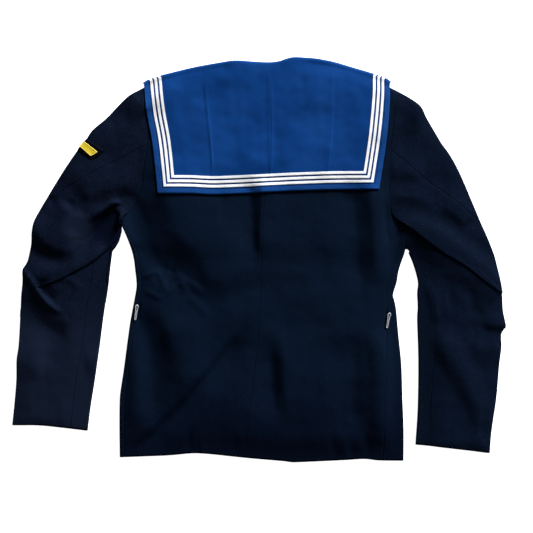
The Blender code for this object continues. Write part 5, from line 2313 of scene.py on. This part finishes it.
    def build(self) -> None:
        """Makes the collar, its hem stitches and its tapes."""
        piece = placed(self.build_cloth(), "collar")
        paths = self.seen_lines(self.hem, 0.0) - (0, 0, self.tape_wall + GAP - 0.05)
        hem = placed(Stitching(2.4, 1.8, 0.32).lay("hem_stitches", paths, BLUE_THREAD))
        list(self.build_tapes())


@dataclass
class Hook:
    """A wire belt hook: an eye at the top, two close legs and a bar at the foot."""

    side: str
    place: tuple[float, float]
    turn: float
    relief: Relief
    length: float = 27.0
    eye: float = 2.55
    waist: float = 1.05
    wire: float = 0.82
    corners: int = 10
    bend_steps: int = 5

    def shape(self) -> Array:
        """Bends the wire from leg to leg round the eye and the foot.

        Returns:
            The points of its path in plan.
        """
        top, foot = self.length / 2 - self.wire, -self.length / 2 + self.wire
        eye = [
            (self.eye * 0.86 * math.cos(angle), top - self.eye + self.eye * math.sin(angle))
            for angle in np.linspace(-0.15 * math.pi, 1.15 * math.pi, 13)
        ]
        waist = self.waist
        left = [
            (-1.5, top - 7), (-waist, top - 12), (-waist, foot + 7), (-waist, foot + 2.2),
            (-0.75, foot + 0.5), (0, foot),
        ]
        right = [(-x, y) for x, y in left[-2::-1]]
        ring = np.array([*eye, *left, *right], float)
        curve = Line(np.vstack([ring[-2:], ring, ring[:3]]), steps=self.bend_steps)
        return curve.points[2 * self.bend_steps: -2 * self.bend_steps - 1]

    def tube(self, name: str, path: Array) -> Piece:
        """Makes a closed loop of wire.

        Args:
            name: The piece's name.
            path: The points of its middle.

        Returns:
            The piece.
        """
        tangent = unit(np.roll(path, -1, axis=0) - np.roll(path, 1, axis=0))
        side = unit(np.cross(tangent, (0.0, 0.0, 1.0)))
        lift = np.cross(side, tangent)
        angles = np.linspace(0, 2 * math.pi, self.corners, endpoint=False)
        rings = [
            path + self.wire * (math.cos(a) * side + math.sin(a) * lift) for a in angles
        ]
        points = np.array(rings).transpose(1, 0, 2).reshape(-1, 3)
        corner = np.arange(len(points)).reshape(len(path), self.corners)
        beside = np.roll(corner, -1, axis=1)
        ends = [np.roll(beside, -1, axis=0), np.roll(corner, -1, axis=0)]
        faces = np.stack([corner, beside, *ends], axis=2).reshape(-1, 4)
        data = bpy.data.meshes.new(name)
        data.from_pydata((points * MM).tolist(), [], faces.tolist())
        mesh = bmesh.new()
        mesh.from_mesh(data)
        bmesh.ops.recalc_face_normals(mesh, faces=mesh.faces)
        mesh.to_mesh(data)
        mesh.free()
        data.shade_smooth()
        piece = linked(name, data)
        BRIGHT_WIRE.dress(piece)
        return piece

    def build(self) -> None:
        """Makes the hook."""
        turn = math.radians(self.turn)
        across = np.array([math.cos(turn), math.sin(turn)])
        turned = np.array([across, (-across[1], across[0])])
        plan = self.shape() @ turned + self.place
        height = self.relief.upper(plan).max() + GAP + self.wire
        name = "belt_hook_" + self.side
        placed(self.tube(name + "_wire", at_height(plan, height)), name)


@dataclass
class Studio:
    """The table, the lights and the camera."""

    view_width: float = 916.8
    centre: tuple[float, float] = (13.3, -11.0)
    lens: float = 70.0
    sensor: float = 36.0
    # In metres: half the table's side, how far it is below 0, and the cloth's level
    table_half: float = 6.0
    table_drop: float = 0.0002
    cloth_level: float = 0.008

    def build(self) -> None:
        """Sets the scene round the jumper."""
        scene = bpy.context.scene
        data = bpy.data.meshes.new("table")
        half = self.table_half
        data.from_pydata(
            [(-half, -half, 0), (half, -half, 0), (half, half, 0), (-half, half, 0)],
            [], [(0, 1, 2, 3)],
        )
        table = linked("table", data)
        table.location.z = -self.table_drop
        data.materials.append(TableTop("table top").material())
        self.light("key", (3.9, 6.4, 2.7), 2.4, 1900.0)
        world = bpy.data.worlds.new("studio")
        world.use_nodes = True
        background = world.node_tree.nodes["Background"]
        background.inputs["Color"].default_value = (1.0, 1.0, 1.0, 1.0)
        background.inputs["Strength"].default_value = 0.12
        scene.world = world
        scene.view_settings.view_transform = "Standard"
        camera = bpy.data.cameras.new("camera")
        camera.lens, camera.sensor_width = self.lens, self.sensor
        seat = linked("camera", camera)
        distance = self.view_width * MM * self.lens / self.sensor + self.cloth_level
        seat.location = (self.centre[0] * MM, self.centre[1] * MM, distance)
        scene.camera = seat

    def light(
        self, name: str, place: Triple, size: float, power: float
    ) -> None:
        """Hangs a soft square light that looks at the jumper.

        Args:
            name: Its name.
            place: Where it hangs, in metres.
            size: Its side in metres.
            power: Its power in watts.
        """
        lamp = bpy.data.lights.new(name, "AREA")
        lamp.size, lamp.energy = size, power
        holder = linked(name, lamp)
        holder.location = place
        holder.rotation_euler = (-holder.location).to_track_quat("-Z", "Y").to_euler()


def main() -> None:
    """Builds the jumper's looks piece by piece."""
    logging.basicConfig(level=logging.INFO, format="%(name)s: %(message)s")
    borders = (
        (SIDE_LEFT, 0.0), (SIDE_RIGHT, 0.0), (HEM, 0.0), (SHOULDER_LEFT, 28.0),
        (SHOULDER_RIGHT, 28.0), (OUTER_LEFT, 20.0), (INNER_LEFT, 0.0),
        (CUFF_LEFT, 34.0), (OUTER_RIGHT, 32.0), (INNER_RIGHT, 0.0), (CUFF_RIGHT, 34.0),
    )
    relief = Relief((*BODY_FOLDS, *SLEEVE_FOLDS), borders)
    body = Body(relief)
    body.back_panel("back_left", True)
    body.back_panel("back_right", False)
    body.front_panel()
    left = Sleeve(
        "left", body.armhole(True), (OUTER_LEFT, INNER_LEFT, LIP_LEFT, CUFF_LEFT),
        (HIND_LINE_LEFT, FORE_LINE_LEFT), LIP_RISE_LEFT, (0.1, 0.34), LEFT_SERGE,
        relief,
    )
    right = Sleeve(
        "right", body.armhole(False), (OUTER_RIGHT, INNER_RIGHT, LIP_RIGHT, CUFF_RIGHT),
        (HIND_LINE_RIGHT, FORE_LINE_RIGHT), LIP_RISE_RIGHT, (-0.2, 0.25),
        RIGHT_SERGE, relief,
    )
    hooks = (
        Hook("left", (-211.0, -90.0), -8.0, relief),
        Hook("right", (222.5, -104.0), -10.0, relief),
    )
    for part in (left, right, Badge(left), Collar(body), *hooks, Studio()):
        part.build()


if __name__ == "__main__":
    main()
